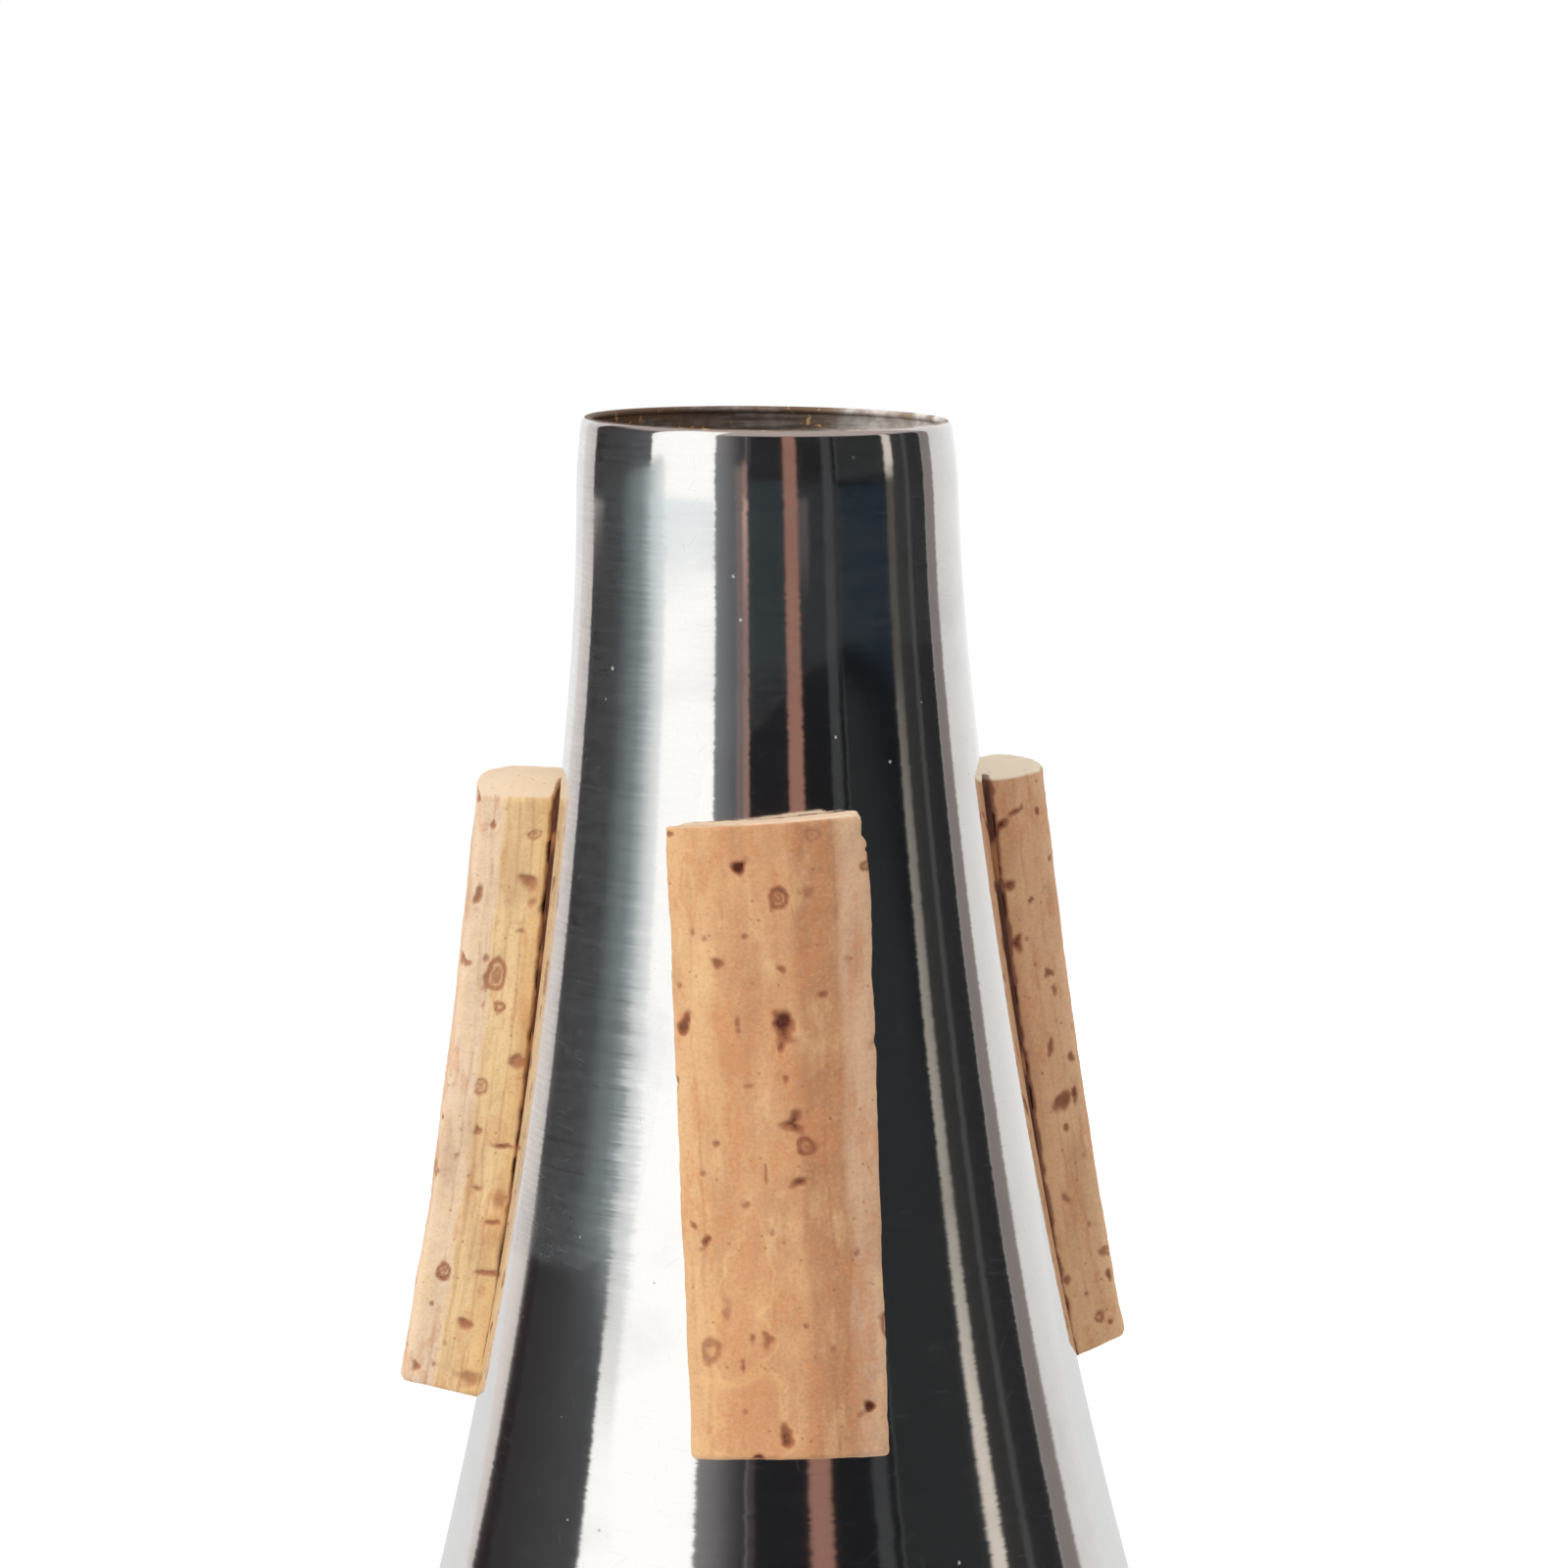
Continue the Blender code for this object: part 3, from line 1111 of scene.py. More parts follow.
@dataclass(frozen=True)
class Grain:
    """Noise that is drawn out along a strip, in patches to a millimetre.

    Attributes:
        across: how many there are across the strip, and up from its foot.
        down: how many there are down the strip.
        detail: how many finer layers are added.
        rough: how strong the finer layers are.
    """

    across: float
    down: float
    detail: float = 3.0
    rough: float = 0.6

    def draw(self, board: Board, place: Wire) -> Wire:
        """Draw the noise on a board.

        Args:
            board: the material's board.
            place: the flat place in the strip.

        Returns:
            The noise, 0 to 1.
        """
        rates = (self.across, self.down, self.across)
        return board.noise(board.stretch(place, rates), 1.0, self.detail, self.rough)


@dataclass(frozen=True)
class CorkFinish:
    """Natural cork: three tones across the strip, growth lines along it, and flecks.

    Every field that ends in edge gives where a smooth step is half way, and how wide it is.

    Attributes:
        name: the material's name.
        low_tone: colour on the low side of the strip.
        middle_tone: colour in its middle.
        high_tone: colour on its high side.
        low_side: where the middle starts, in millimetres along the tone axis.
        high_side: where it ends.
        growth: where the growth lines are, along the tone axis.
        tone_axis: 0 for tones that change across the strip, 2 for tones that change upwards.
        warm: colour between the flames.
        pale: colour of the flames and of the faded part.
        end_grain_and_light: colour of the cut ends: their paler end grain, with painted light on the top
            ends.
        line: colour of the growth lines and fine streaks.
        brown: colour of the clouds and of the band.
        flame: colour of the marks that are flames.
        flame_rim: colour of their rims.
        pore_rim: colour of a pore's rim.
        pore_heart: colour of its middle.
        glue_stain: colour that glue gives to the foot.
        line_share: how strong the growth lines are.
        pale_share: how strong the flames are.
        brown_share: how strong the clouds are.
        band: where a browner band starts and ends, along the tone axis.
        band_share: how strong it is.
        faded: how much the lower part is faded.
        soft_low: how soft the border of the low tone is.
        soft_high: how soft that of the high tone is.
        soft_band: how soft the band's borders are.
        tone_bend: how far the tones' borders bend, in millimetres.
        line_bend: how far the growth lines bend.
        grain_depth: depth of its fine relief, in metres.
    """

    name: str
    low_tone: Colour
    middle_tone: Colour
    high_tone: Colour
    low_side: float
    high_side: float
    growth: tuple[float, ...]
    tone_axis: int = 0
    warm: Colour = paint(206, 132, 82)
    pale: Colour = paint(240, 203, 150)
    end_grain_and_light: Colour = paint(240, 214, 186)
    line: Colour = paint(168, 112, 74)
    brown: Colour = paint(166, 112, 80)
    flame: Colour = paint(208, 150, 108)
    flame_rim: Colour = paint(230, 180, 122)
    pore_rim: Colour = paint(150, 90, 62)
    pore_heart: Colour = paint(82, 34, 26)
    glue_stain: Colour = paint(76, 42, 26)
    line_share: float = 0.4
    pale_share: float = 0.5
    brown_share: float = 0.3
    band: Point = (0.0, 0.0)
    band_share: float = 0.0
    faded: float = 0.0
    soft_low: float = 3.5
    soft_high: float = 1.4
    soft_band: float = 2.0
    tone_bend: float = 2.6
    line_bend: float = 2.4
    bends: Grain = Grain(0.35, 0.07, 3.0, 0.5)
    clouds: Grain = Grain(0.22, 0.05)
    flames: Grain = Grain(0.32, 0.10, 4.0)
    streaks: Grain = Grain(0.9, 0.03)
    breaks: Grain = Grain(0.5, 0.12, 2.0, 0.5)
    faded_edge: Point = (42, 50)
    cloud_edge: Point = (0.56, 0.2)
    flame_edge: Point = (0.62, 0.26)
    warm_band: Triple = (0.36, 0.44, 0.05)
    warm_share: float = 0.3
    streak_edge: Point = (0.62, 0.12)
    break_edge: Point = (0.46, 0.25)
    thread_edge: Point = (0.2, 0.4)
    grain_scale: float = 2.6
    grain_edge: Point = (0.6, 0.25)
    pale_grain_share: float = 0.16
    dark_grain_share: float = 0.24
    fine_scale: float = 7.0
    fine_edge: Point = (0.68, 0.1)
    fine_share: float = 0.2
    specks: tuple[float, Point, float, Point] = (0.8, (0.14, 0.14), 0.45, (0.55, 0.1))
    speck_share: float = 0.5
    bloom_edge: Point = (0.5, 0.4)
    bloom_share: float = 0.5
    bloom_band: Triple = (0.22, 0.5, 0.3)
    bloom_rim_share: float = 0.4
    end_grain_and_light_share: float = 0.85
    pore_rim_edge: Point = (0.34, 0.6)
    pore_rim_share: float = 0.82
    pore_heart_edge: Point = (0.84, 0.5)
    glue_edge: Point = (0.5, 0.8)
    glue_share: float = 0.85
    roughness: float = 0.82
    specular: float = 0.3
    grain_depth: float = 0.00005

    def tones(self, board: Board, place: Wire) -> Wire:
        """The broad colours of the strip, with growth lines and lighter flames in them."""
        bend = self.bends.draw(board, place) - 0.5
        parts = board.split(place)
        side = parts[self.tone_axis]
        loose_side = side + self.tone_bend * bend
        colour = board.tint(self.low_tone, self.middle_tone, loose_side, (self.low_side, self.soft_low))
        colour = board.tint(colour, self.high_tone, loose_side, (self.high_side, self.soft_high))
        if self.band_share:
            band = board.between(loose_side, *self.band, self.soft_band)
            colour = board.blend(band * self.band_share, colour, self.brown)
        if self.faded:
            colour = board.tint(colour, self.pale, parts[1], self.faded_edge, self.faded)
        cloud = self.clouds.draw(board, place)
        colour = board.tint(colour, self.brown, cloud, self.cloud_edge, self.brown_share)
        flame = self.flames.draw(board, place)
        colour = board.tint(colour, self.pale, flame, self.flame_edge, self.pale_share)
        colour = board.blend(board.between(flame, *self.warm_band) * self.warm_share, colour, self.warm)
        streak = self.streaks.draw(board, place)
        colour = board.tint(colour, self.line, streak, self.streak_edge, self.line_share / 2)
        broken = board.step(self.breaks.draw(board, place), *self.break_edge)
        bent_side = side + self.line_bend * bend + 0.5 * (streak - 0.5)
        for line in self.growth:
            thread = 1 - board.step(abs(bent_side - line), *self.thread_edge)
            colour = board.blend(thread * broken * self.line_share, colour, self.line)
        return colour

    def material(self) -> bpy.types.Material:
        """Build the node material."""
        material, board = new_material(self.name)
        place = board.stored("cork_place", "Vector")
        pore = board.stored("pore")
        glued = board.stored("glued")
        grain = board.noise(place, self.grain_scale, 3.0, 0.65)
        fine = board.noise(board.stretch(place, (1, 0.45, 1)), self.fine_scale, 2.0, 0.7)
        speck = board.specks(place, *self.specks)
        loose = grain - 0.5
        bloom = board.stored("bloom") + 0.5 * loose
        ragged = pore + 0.4 * loose * board.step(pore, 0.12, 0.2)
        colour = self.tones(board, place)
        colour = board.tint(colour, self.flame, bloom, self.bloom_edge, self.bloom_share)
        bloom_rim = board.between(bloom, *self.bloom_band) * self.bloom_rim_share
        colour = board.blend(bloom_rim, colour, self.flame_rim)
        colour = board.tint(colour, self.pale, grain, self.grain_edge, self.pale_grain_share)
        colour = board.tint(colour, self.line, 1 - grain, self.grain_edge, self.dark_grain_share)
        colour = board.tint(colour, self.pore_rim, fine, self.fine_edge, self.fine_share)
        # The cut ends' colour: paler end grain, and painted light on the top ends.
        colour = board.blend(board.stored("cut_end") * self.end_grain_and_light_share, colour, self.end_grain_and_light)
        colour = board.blend(speck * self.speck_share, colour, self.pore_rim)
        colour = board.tint(colour, self.pore_rim, ragged, self.pore_rim_edge, self.pore_rim_share)
        colour = board.tint(colour, self.pore_heart, ragged, self.pore_heart_edge)
        colour = board.tint(colour, self.glue_stain, glued + 0.8 * loose, self.glue_edge, self.glue_share)
        height = grain * 0.6 + fine * 0.4 - speck * 0.6
        shader = board.principled(
            {
                "Base Color": colour,
                "Roughness": self.roughness + 0.12 * (fine - 0.5) - 0.25 * board.step(glued, 0.5, 0.4),
                "Specular IOR Level": self.specular,
                "Normal": board.bump(height, self.grain_depth),
            }
        )
        board.finish(shader)
        return material


@dataclass(frozen=True)
class GlueFinish:
    """Dark brown contact glue, dry and lumpy, paler where the film is thin."""

    dark: Colour = paint(84, 44, 26)
    thin: Colour = paint(158, 100, 58)
    roughness: float = 0.75
    lump_scale: float = 700.0
    lump_depth: float = 0.0002
    film_scale: float = 180.0
    thin_edge: Point = (0.6, 0.16)

    def material(self) -> bpy.types.Material:
        """Build the node material."""
        material, board = new_material("contact_glue")
        place = board.place()
        lumps = board.noise(place, self.lump_scale, 3.0, 0.6)
        thin = board.step(board.noise(place, self.film_scale, 2.0), *self.thin_edge)
        shader = board.principled(
            {
                "Base Color": board.blend(thin, self.dark, self.thin),
                "Roughness": self.roughness + 0.3 * (lumps - 0.5),
                "Normal": board.bump(lumps, self.lump_depth),
            }
        )
        board.finish(shader)
        return material


def block_surface(counts: tuple[int, int, int]) -> Pair:
    """The surface of a block of small cells.

    Args:
        counts: how many cells the block has each way.

    Returns:
        The whole-numbered corners of the surface cells, and their four-cornered faces.
    """
    faces = []
    for axis in range(3):
        second, third = (axis + 1) % 3, (axis + 2) % 3
        steps = np.arange(counts[second]), np.arange(counts[third])
        first_cell, second_cell = np.meshgrid(*steps, indexing="ij")
        for level in (0, counts[axis]):
            corners = []
            for right, up in ((0, 0), (1, 0), (1, 1), (0, 1)):
                corner = np.zeros((first_cell.size, 3), int)
                corner[:, axis] = level
                corner[:, second] = first_cell.ravel() + right
                corner[:, third] = second_cell.ravel() + up
                corners.append(corner)
            faces.append(np.stack(corners, axis=1))
    stacked = np.concatenate(faces)
    points, numbers = np.unique(stacked.reshape(-1, 3), axis=0, return_inverse=True)
    return points, numbers.reshape(-1, 4)


@dataclass(frozen=True)
class Brush:
    """How a mark is filled in. Distances are in shares of the mark's own half size.

    Attributes:
        far: a distance that is out of every mark's reach.
        body: where a mark ends, and where it is full.
        pit: the same for the hollow in it.
        stain: the same for a stain.
        flame: the same for a flame.
        ring_at: where a ring is darkest.
        ring_wide: how wide that is.
        ring_dark: how dark the ring is.
        ring_fill: how dark its inside is.
        heart: how wide its dark heart is.
        ring_depth: how deep it is, in millimetres.
        arms: how many arms a star has.
        arm_reach: how far they stand out.
        pit_depth: depth of a pit for each millimetre of its size.
        pit_least: what is added to a pit's own size for that, in millimetres.
        ragged: patch size of each kind of unevenness for each millimetre of the mark, and its strength.
        least_patch: what is added to the patch size, in millimetres.
        bounds: how far round a mark it is drawn at all, in shares of its two sizes together.
        inwards: how far it goes into the cork, in the same shares.
        least_inwards: what is added to that, in millimetres.
    """

    far: float = 9.0
    body: Point = (1.45, 0.25)
    pit: Point = (1.0, 0.3)
    stain: Point = (1.4, 0.1)
    flame: Point = (1.3, 0.6)
    ring_at: float = 0.8
    ring_wide: float = 0.38
    ring_dark: float = 1.15
    ring_fill: float = 0.45
    heart: float = 0.3
    ring_depth: float = 0.08
    arms: int = 3
    arm_reach: float = 0.22
    pit_depth: float = 0.22
    pit_least: float = 0.4
    ragged: tuple[Point, ...] = ((0.55, 0.9), (0.25, 0.5))
    least_patch: float = 0.15
    bounds: float = 3.0
    inwards: float = 0.4
    least_inwards: float = 0.6

    def fill(self, mark: Mark, away: np.ndarray) -> Drawn:
        """Fill a mark in.

        Args:
            mark: the mark.
            away: how far each place is from the mark's middle; 1 is its outline.

        Returns:
            Darkness from 0 to 1, depth in millimetres, and how far a flame reaches.
        """
        body = ease(away, *self.body)
        nothing = np.zeros(len(away))
        if mark.shape is Shape.RING:
            ring = np.exp(-(((away - self.ring_at) / self.ring_wide) ** 2))
            heart = np.exp(-((away / self.heart) ** 2))
            dark = np.maximum.reduce([self.ring_dark * ring, self.ring_fill * body, heart])
            return mark.dark * dark, self.ring_depth * body, nothing
        if mark.shape is Shape.STAIN:
            return mark.dark * ease(away, *self.stain), nothing, nothing
        if mark.shape is Shape.FLAME:
            return nothing, nothing, mark.dark * ease(away, *self.flame)
        if mark.shape is Shape.CHIP:
            return nothing, mark.dark * body, nothing
        depth = mark.dark * self.pit_depth * (self.pit_least + mark.size)
        return mark.dark * body, depth * ease(away, *self.pit), nothing


BRUSH = Brush()


@dataclass(frozen=True)
class Wear:
    """The unevenness that every strip shares, in millimetres where nothing else is said.

    Attributes:
        rounding: the least rounding of an edge and what chance adds, in shares of the strip's own.
        rounding_patch: length of a stretch of an edge that is rounded alike.
        wave_patch: how long the waves in its faces are.
        fuzz: how rough its faces are.
        fuzz_patch: how large the rough spots are.
        foot: the share of its thickness that its foot takes up.
        foot_patch: how long the ragged stretches of the foot are.
        foot_flat: how fast that changes upwards, for 1 along the foot.
        foot_edge: the noise levels where the foot starts to be nibbled and where it is most.
        cut: how far from the top end the cut's colour ends, and where it is full.
        end_cut: the same at the lower end.
        end_share: how strong it is at the lower end.
        stain: the least height of the glue stain and what chance adds, in shares of the strip's own.
        stain_patch: length of a stretch of the stain that is equally high.
        stain_edge: how far over that height the stain ends, and how far under it it is full.
    """

    rounding: Point = (0.35, 1.5)
    rounding_patch: float = 2.3
    wave_patch: float = 4.5
    fuzz: float = 0.10
    fuzz_patch: float = 0.9
    foot: float = 0.35
    foot_patch: float = 1.6
    foot_flat: float = 0.3
    foot_edge: Point = (0.45, 0.9)
    cut: Point = (0.25, 0.05)
    end_cut: Point = (0.15, 0.05)
    end_share: float = 0.3
    stain: Point = (0.3, 1.6)
    stain_patch: float = 1.3
    stain_edge: Point = (0.6, 0.25)


WEAR = Wear()


@dataclass(frozen=True)
class Film:
    """The film of glue under every strip, in millimetres.

    Attributes:
        cell: size of its cells.
        least_cells: the least number of cells each way.
        clear: how far it stays clear of the cone and of the cork's foot.
        margin: how far its sides are inside the strip's where nothing is squeezed out.
        end_margin: how far its ends are inside the strip's.
        rounding: how round its edges are.
        swell: strength and length of each kind of wave in its edge, the noise level that leaves
            the edge as it is, and what is added to the strip's seed.
        swell_top: how far the waves reach at the cork.
        swell_foot: how much further they reach at the cone.
    """

    cell: float = 0.45
    least_cells: int = 4
    clear: float = 0.03
    margin: float = 0.25
    end_margin: float = 0.35
    rounding: float = 0.3
    swell: tuple[tuple[float, float, float, int], ...] = ((0.9, 1.5, 0.55, 7), (0.4, 0.6, 0.5, 8))
    swell_top: float = 0.4
    swell_foot: float = 0.9


FILM = Film()


def rounded(flat: np.ndarray, low: np.ndarray, high: np.ndarray, rounding: np.ndarray | float) -> Pair:
    """Round the edges of a block.

    Args:
        flat: places on the block's faces.
        low: the block's low corner.
        high: its high corner.
        rounding: the edges' radius, one number or one for each place.

    Returns:
        The places on the rounded block, and which way is outwards there.
    """
    core = np.clip(flat, low + rounding, high - rounding)
    outwards = flat - core
    outwards /= np.linalg.norm(outwards, axis=1)[:, None]
    return core + outwards * rounding, outwards


@dataclass(frozen=True)
class CorkStrip:
    """One hand-cut strip and the glue under it. Sizes are in millimetres, angles in degrees.

    Attributes:
        side: front, left or right.
        azimuth: where it is on the cone.
        drop: how far its top end is below the rim.
        length: its length along the wall.
        top_thickness: thickness at the top end.
        end_thickness: thickness at the lower end.
        finish: its material.
        shown_face: the face that most marks are on.
        marks: the pores, stains and chips that are listed one by one.
        seed: picks the strip's chance marks and unevenness.
        lean: how far its middle line leans to the right going down.
        top_skew: how far the cut at the top end rises from the middle to the right edge.
        top_cut: how far that cut falls for each millimetre of thickness.
        end_cut: the same for the cut at the lower end.
        width: its width.
        splay: how much its side faces follow the cone's round; 0 is parallel sides.
        crown: how much its outer face is arched.
        fullness: how square that arch is; 2 is a plain one.
        bow: how far the cut at the top end falls away on the hidden half.
        dip: how far it sags at the shown edge.
        nip: how much lower the shown corner of the cut at the top end is.
        uneven: how far its faces wave in and out.
        lift: how far its foot stands off the cone before it is seated, where the glue is.
        cell: size of its cells.
        edge: how round its edges are.
        seat_top: how far its foot comes down to the wall at the top end.
        seat_end: the same at the lower end.
        nibble: how ragged the foot's edge is.
        stain: how far glue has crept up the sides.
        squeeze: how far the glue film comes out from under it.
        chance_marks: how many chance marks a hidden outer face has; a hidden side has half as many.
    """

    side: str
    azimuth: float
    drop: float
    length: float
    top_thickness: float
    end_thickness: float
    finish: CorkFinish
    shown_face: Face
    marks: tuple[Mark, ...]
    seed: int
    lean: float = 0.0
    top_skew: float = 0.0
    top_cut: float = 0.0
    end_cut: float = 0.0
    width: float = 19.8
    splay: float = 0.5
    crown: float = 0.5
    fullness: float = 2.0
    bow: float = 0.0
    dip: float = 0.0
    nip: float = 0.0
    uneven: float = 0.16
    lift: float = 1.0
    cell: float = 0.28
    edge: float = 0.45
    seat_top: float = 0.3
    seat_end: float = 0.3
    nibble: float = 0.5
    stain: float = 0.25
    squeeze: float = 0.3
    chance_marks: int = 46

    def bend(self, local: np.ndarray) -> np.ndarray:
        """Take flat places in the strip to the cone.

        Args:
            local: distance from the middle line, from the top end and from the foot, one place a row.

        Returns:
            The places in the frame, in metres.
        """
        across = local[:, 0] / (self.width / 2)
        along = local[:, 1] / self.length
        rise = local[:, 2]
        middle_slope = float(WALL.at((self.drop + self.length / 2) * MM)[1])
        drop = self.drop + along * self.length * cos(atan(middle_slope))
        hidden = np.clip(-across * self.shown_face.value, 0, None)
        shown = np.clip(across * self.shown_face.value, 0, 1)
        sag = self.dip * shown**6 * np.clip(1 - (2 * rise / self.top_thickness - 1) ** 2, 0, None)
        drop += (1 - along) * (rise * self.top_cut - across * self.top_skew)
        drop += (1 - along) * (self.bow * hidden**2 + self.nip * shown**4)
        drop += np.clip(1 - along, 0, 1) ** 8 * sag
        drop += along * rise * self.end_cut
        radius, slope = WALL.at(drop * MM)
        foot = radius / MM + self.lift
        shift = (along - 0.5) * self.length * tan(radians(self.lean)) / foot
        turn_out = across * self.width / 2 / foot
        azimuth = radians(self.azimuth)
        foot_angle = azimuth + shift + turn_out
        face_angle = azimuth + shift + self.splay * turn_out
        tilt = np.arctan(slope)
        out = rise * np.cos(tilt)
        return MM * np.stack(
            [
                foot * np.sin(foot_angle) + out * np.sin(face_angle),
                -foot * np.cos(foot_angle) - out * np.cos(face_angle),
                WALL.height / MM - drop + rise * np.sin(tilt),
            ],
            axis=1,
        )

    def thickness(self, along: np.ndarray, sideways: np.ndarray) -> np.ndarray:
        """Thickness at a share of the length and a distance from the middle line."""
        crown = self.crown * (1 - np.clip(np.abs(sideways) / (self.width / 2), 0, 1) ** self.fullness)
        return self.top_thickness + (self.end_thickness - self.top_thickness) * along + crown

    def all_marks(self) -> list[Mark]:
        """The listed marks, and chance ones on the faces that have none."""
        chance = np.random.default_rng(self.seed)
        found = list(self.marks)
        for face in Face:
            if face is self.shown_face:
                continue
            reach = self.width / 2 if face is Face.OUTER else self.top_thickness
            low = -reach if face is Face.OUTER else 0.0
            for _ in range(self.chance_marks if face is Face.OUTER else self.chance_marks // 2):
                size = 0.5 + 1.5 * chance.random() ** 2.5
                found.append(
                    Mark(
                        across=chance.uniform(low, reach),
                        down=chance.uniform(0, self.length),
                        wide=size * chance.uniform(0.7, 1.2),
                        tall=size * chance.uniform(0.8, 1.9),
                        dark=chance.uniform(0.35, 1.0),
                        shape=chance.choice([Shape.PIT, Shape.PIT, Shape.RING, Shape.STAR, Shape.STAIN]),
                        turn=chance.uniform(-25, 25),
                        face=face,
                    )
                )
        return found

    def draw_mark(self, mark: Mark, local: np.ndarray, number: int) -> Drawn:
        """How far one mark reaches at each place.

        Args:
            mark: the mark.
            local: flat places in the strip.
            number: the mark's own number, for its unevenness.

        Returns:
            Darkness from 0 to 1, depth in millimetres, and how far a flame reaches.
        """
        face = mark.face or self.shown_face
        along = local[:, 1] / self.length
        if face is Face.OUTER:
            sideways, inwards = local[:, 0] - mark.across, self.thickness(along, local[:, 0]) - local[:, 2]
        else:
            sideways = local[:, 2] - mark.across
            inwards = self.width / 2 - face.value * local[:, 0]
        down = local[:, 1] - mark.down
        reach = BRUSH.bounds * (mark.wide + mark.tall)
        near = (np.abs(sideways) < reach) & (np.abs(down) < reach)
        turn = radians(mark.turn)
        first = (sideways * cos(turn) + down * sin(turn)) / (mark.wide / 2)
        second = (down * cos(turn) - sideways * sin(turn)) / (mark.tall / 2)
        third = inwards / (BRUSH.inwards * (mark.wide + mark.tall) + BRUSH.least_inwards)
        away = np.full(len(local), BRUSH.far)
        away[near] = np.sqrt(first**2 + second**2 + np.clip(third, 0, None) ** 2)[near]
        for part, share in BRUSH.ragged:
            patch = part * mark.size + BRUSH.least_patch
            away[near] += share * (soft_noise(local[near], patch, self.seed + number) - 0.5)
        if mark.shape is Shape.STAR:
            away *= 1 + BRUSH.arm_reach * np.cos(BRUSH.arms * np.arctan2(second, first) + number)
        return BRUSH.fill(mark, away)

    def mesh(self) -> bpy.types.Mesh:
        """Model the strip flat, wear it, and bend it round the cone."""
        mean = (self.top_thickness + self.end_thickness) / 2
        size = np.array([self.width, self.length, mean])
        counts = tuple(int(round(side / self.cell)) for side in size)
        corners, faces = block_surface(counts)
        flat = corners / np.array(counts) * size - np.array([self.width / 2, 0, 0])
        low, high = np.array([-self.width / 2, 0, 0]), np.array([self.width / 2, self.length, mean])
        least, more = WEAR.rounding
        rounding = self.edge * (least + more * soft_noise(flat, WEAR.rounding_patch, self.seed))[:, None]
        local, outwards = rounded(flat, low, high, rounding)
        local += outwards * self.uneven * (soft_noise(flat, WEAR.wave_patch, self.seed + 1) - 0.5)[:, None]
        local += outwards * WEAR.fuzz * (soft_noise(flat, WEAR.fuzz_patch, self.seed + 2) - 0.5)[:, None]
        along = np.clip(local[:, 1] / self.length, 0, 1)
        share = local[:, 2] / mean
        local[:, 2] = share * self.thickness(along, local[:, 0])
        foot = ease(share, WEAR.foot, 0.0)
        seat = self.seat_top + (self.seat_end - self.seat_top) * along
        ragged = soft_noise(local * np.array([1, 1, WEAR.foot_flat]), WEAR.foot_patch, self.seed + 3)
        local[:, 2] -= foot * seat - foot * self.nibble * ease(ragged, *WEAR.foot_edge)
        pore, depth, bloom = np.zeros((3, len(local)))
        for number, mark in enumerate(self.all_marks()):
            dark, deep, reach = self.draw_mark(mark, local, number)
            pore = np.maximum(pore, dark)
            depth = np.maximum(depth, deep)
            bloom = np.maximum(bloom, reach)
        mesh = make_mesh(f"{self.side}_cork", self.bend(local - outwards * depth[:, None]), faces)
        store(mesh, "cork_place", local)
        store(mesh, "pore", pore)
        store(mesh, "glued", self.glued(local, seat))
        store(mesh, "bloom", bloom)
        store(mesh, "cut_end", self.cut_end(local))
        return mesh

    def cut_end(self, local: np.ndarray) -> np.ndarray:
        """How much of the cork's cut end shows at each place, 0 to 1."""
        top = ease(local[:, 1], *WEAR.cut)
        return np.maximum(top, WEAR.end_share * ease(self.length - local[:, 1], *WEAR.end_cut))

    def glued(self, local: np.ndarray, seat: np.ndarray) -> np.ndarray:
        """How much glue stains each place, 0 to 1.

        Args:
            local: flat places in the strip.
            seat: how far the foot comes down to the wall there.

        Returns:
            The share of the glue's colour.
        """
        least, more = WEAR.stain
        over, under = WEAR.stain_edge
        height = self.stain * (least + more * soft_noise(local, WEAR.stain_patch, self.seed + 4))
        return ease(local[:, 2] + seat, height + over, height - under)

    def glue_mesh(self) -> bpy.types.Mesh:
        """The glue film, with ragged edges that were squeezed out from under the strip."""
        margin = FILM.margin - self.squeeze
        size = np.array(
            [self.width - 2 * margin, self.length - 2 * FILM.end_margin, self.lift - 2 * FILM.clear]
        )
        counts = tuple(max(FILM.least_cells, int(round(side / FILM.cell))) for side in size)
        corners, faces = block_surface(counts)
        low = np.array([margin - self.width / 2, FILM.end_margin, FILM.clear - self.lift])
        flat = corners / np.array(counts) * size + low
        local, outwards = rounded(flat, low, low + size, FILM.rounding)
        swell = np.zeros(len(flat))
        for strength, patch, middle, step in FILM.swell:
            swell += strength * (soft_noise(flat, patch, self.seed + step) - middle)
        reach = FILM.swell_top + FILM.swell_foot * ease(flat[:, 2], 0.0, -self.lift)
        local[:, :2] += (outwards * (swell * reach)[:, None])[:, :2]
        return make_mesh(f"{self.side}_glue", self.bend(local), faces)

    def build(self, glue: GlueFinish) -> None:
        """Make the strip and its glue, and dress them.

        Args:
            glue: the glue's finish.
        """
        cork = self.mesh()
        cork.materials.append(self.finish.material())
        film = self.glue_mesh()
        film.materials.append(glue.material())
        add_piece(f"{self.side}_cork_strip", cork, f"cork_{self.side}")
        add_piece(f"{self.side}_glue_film", film, f"glue_{self.side}")


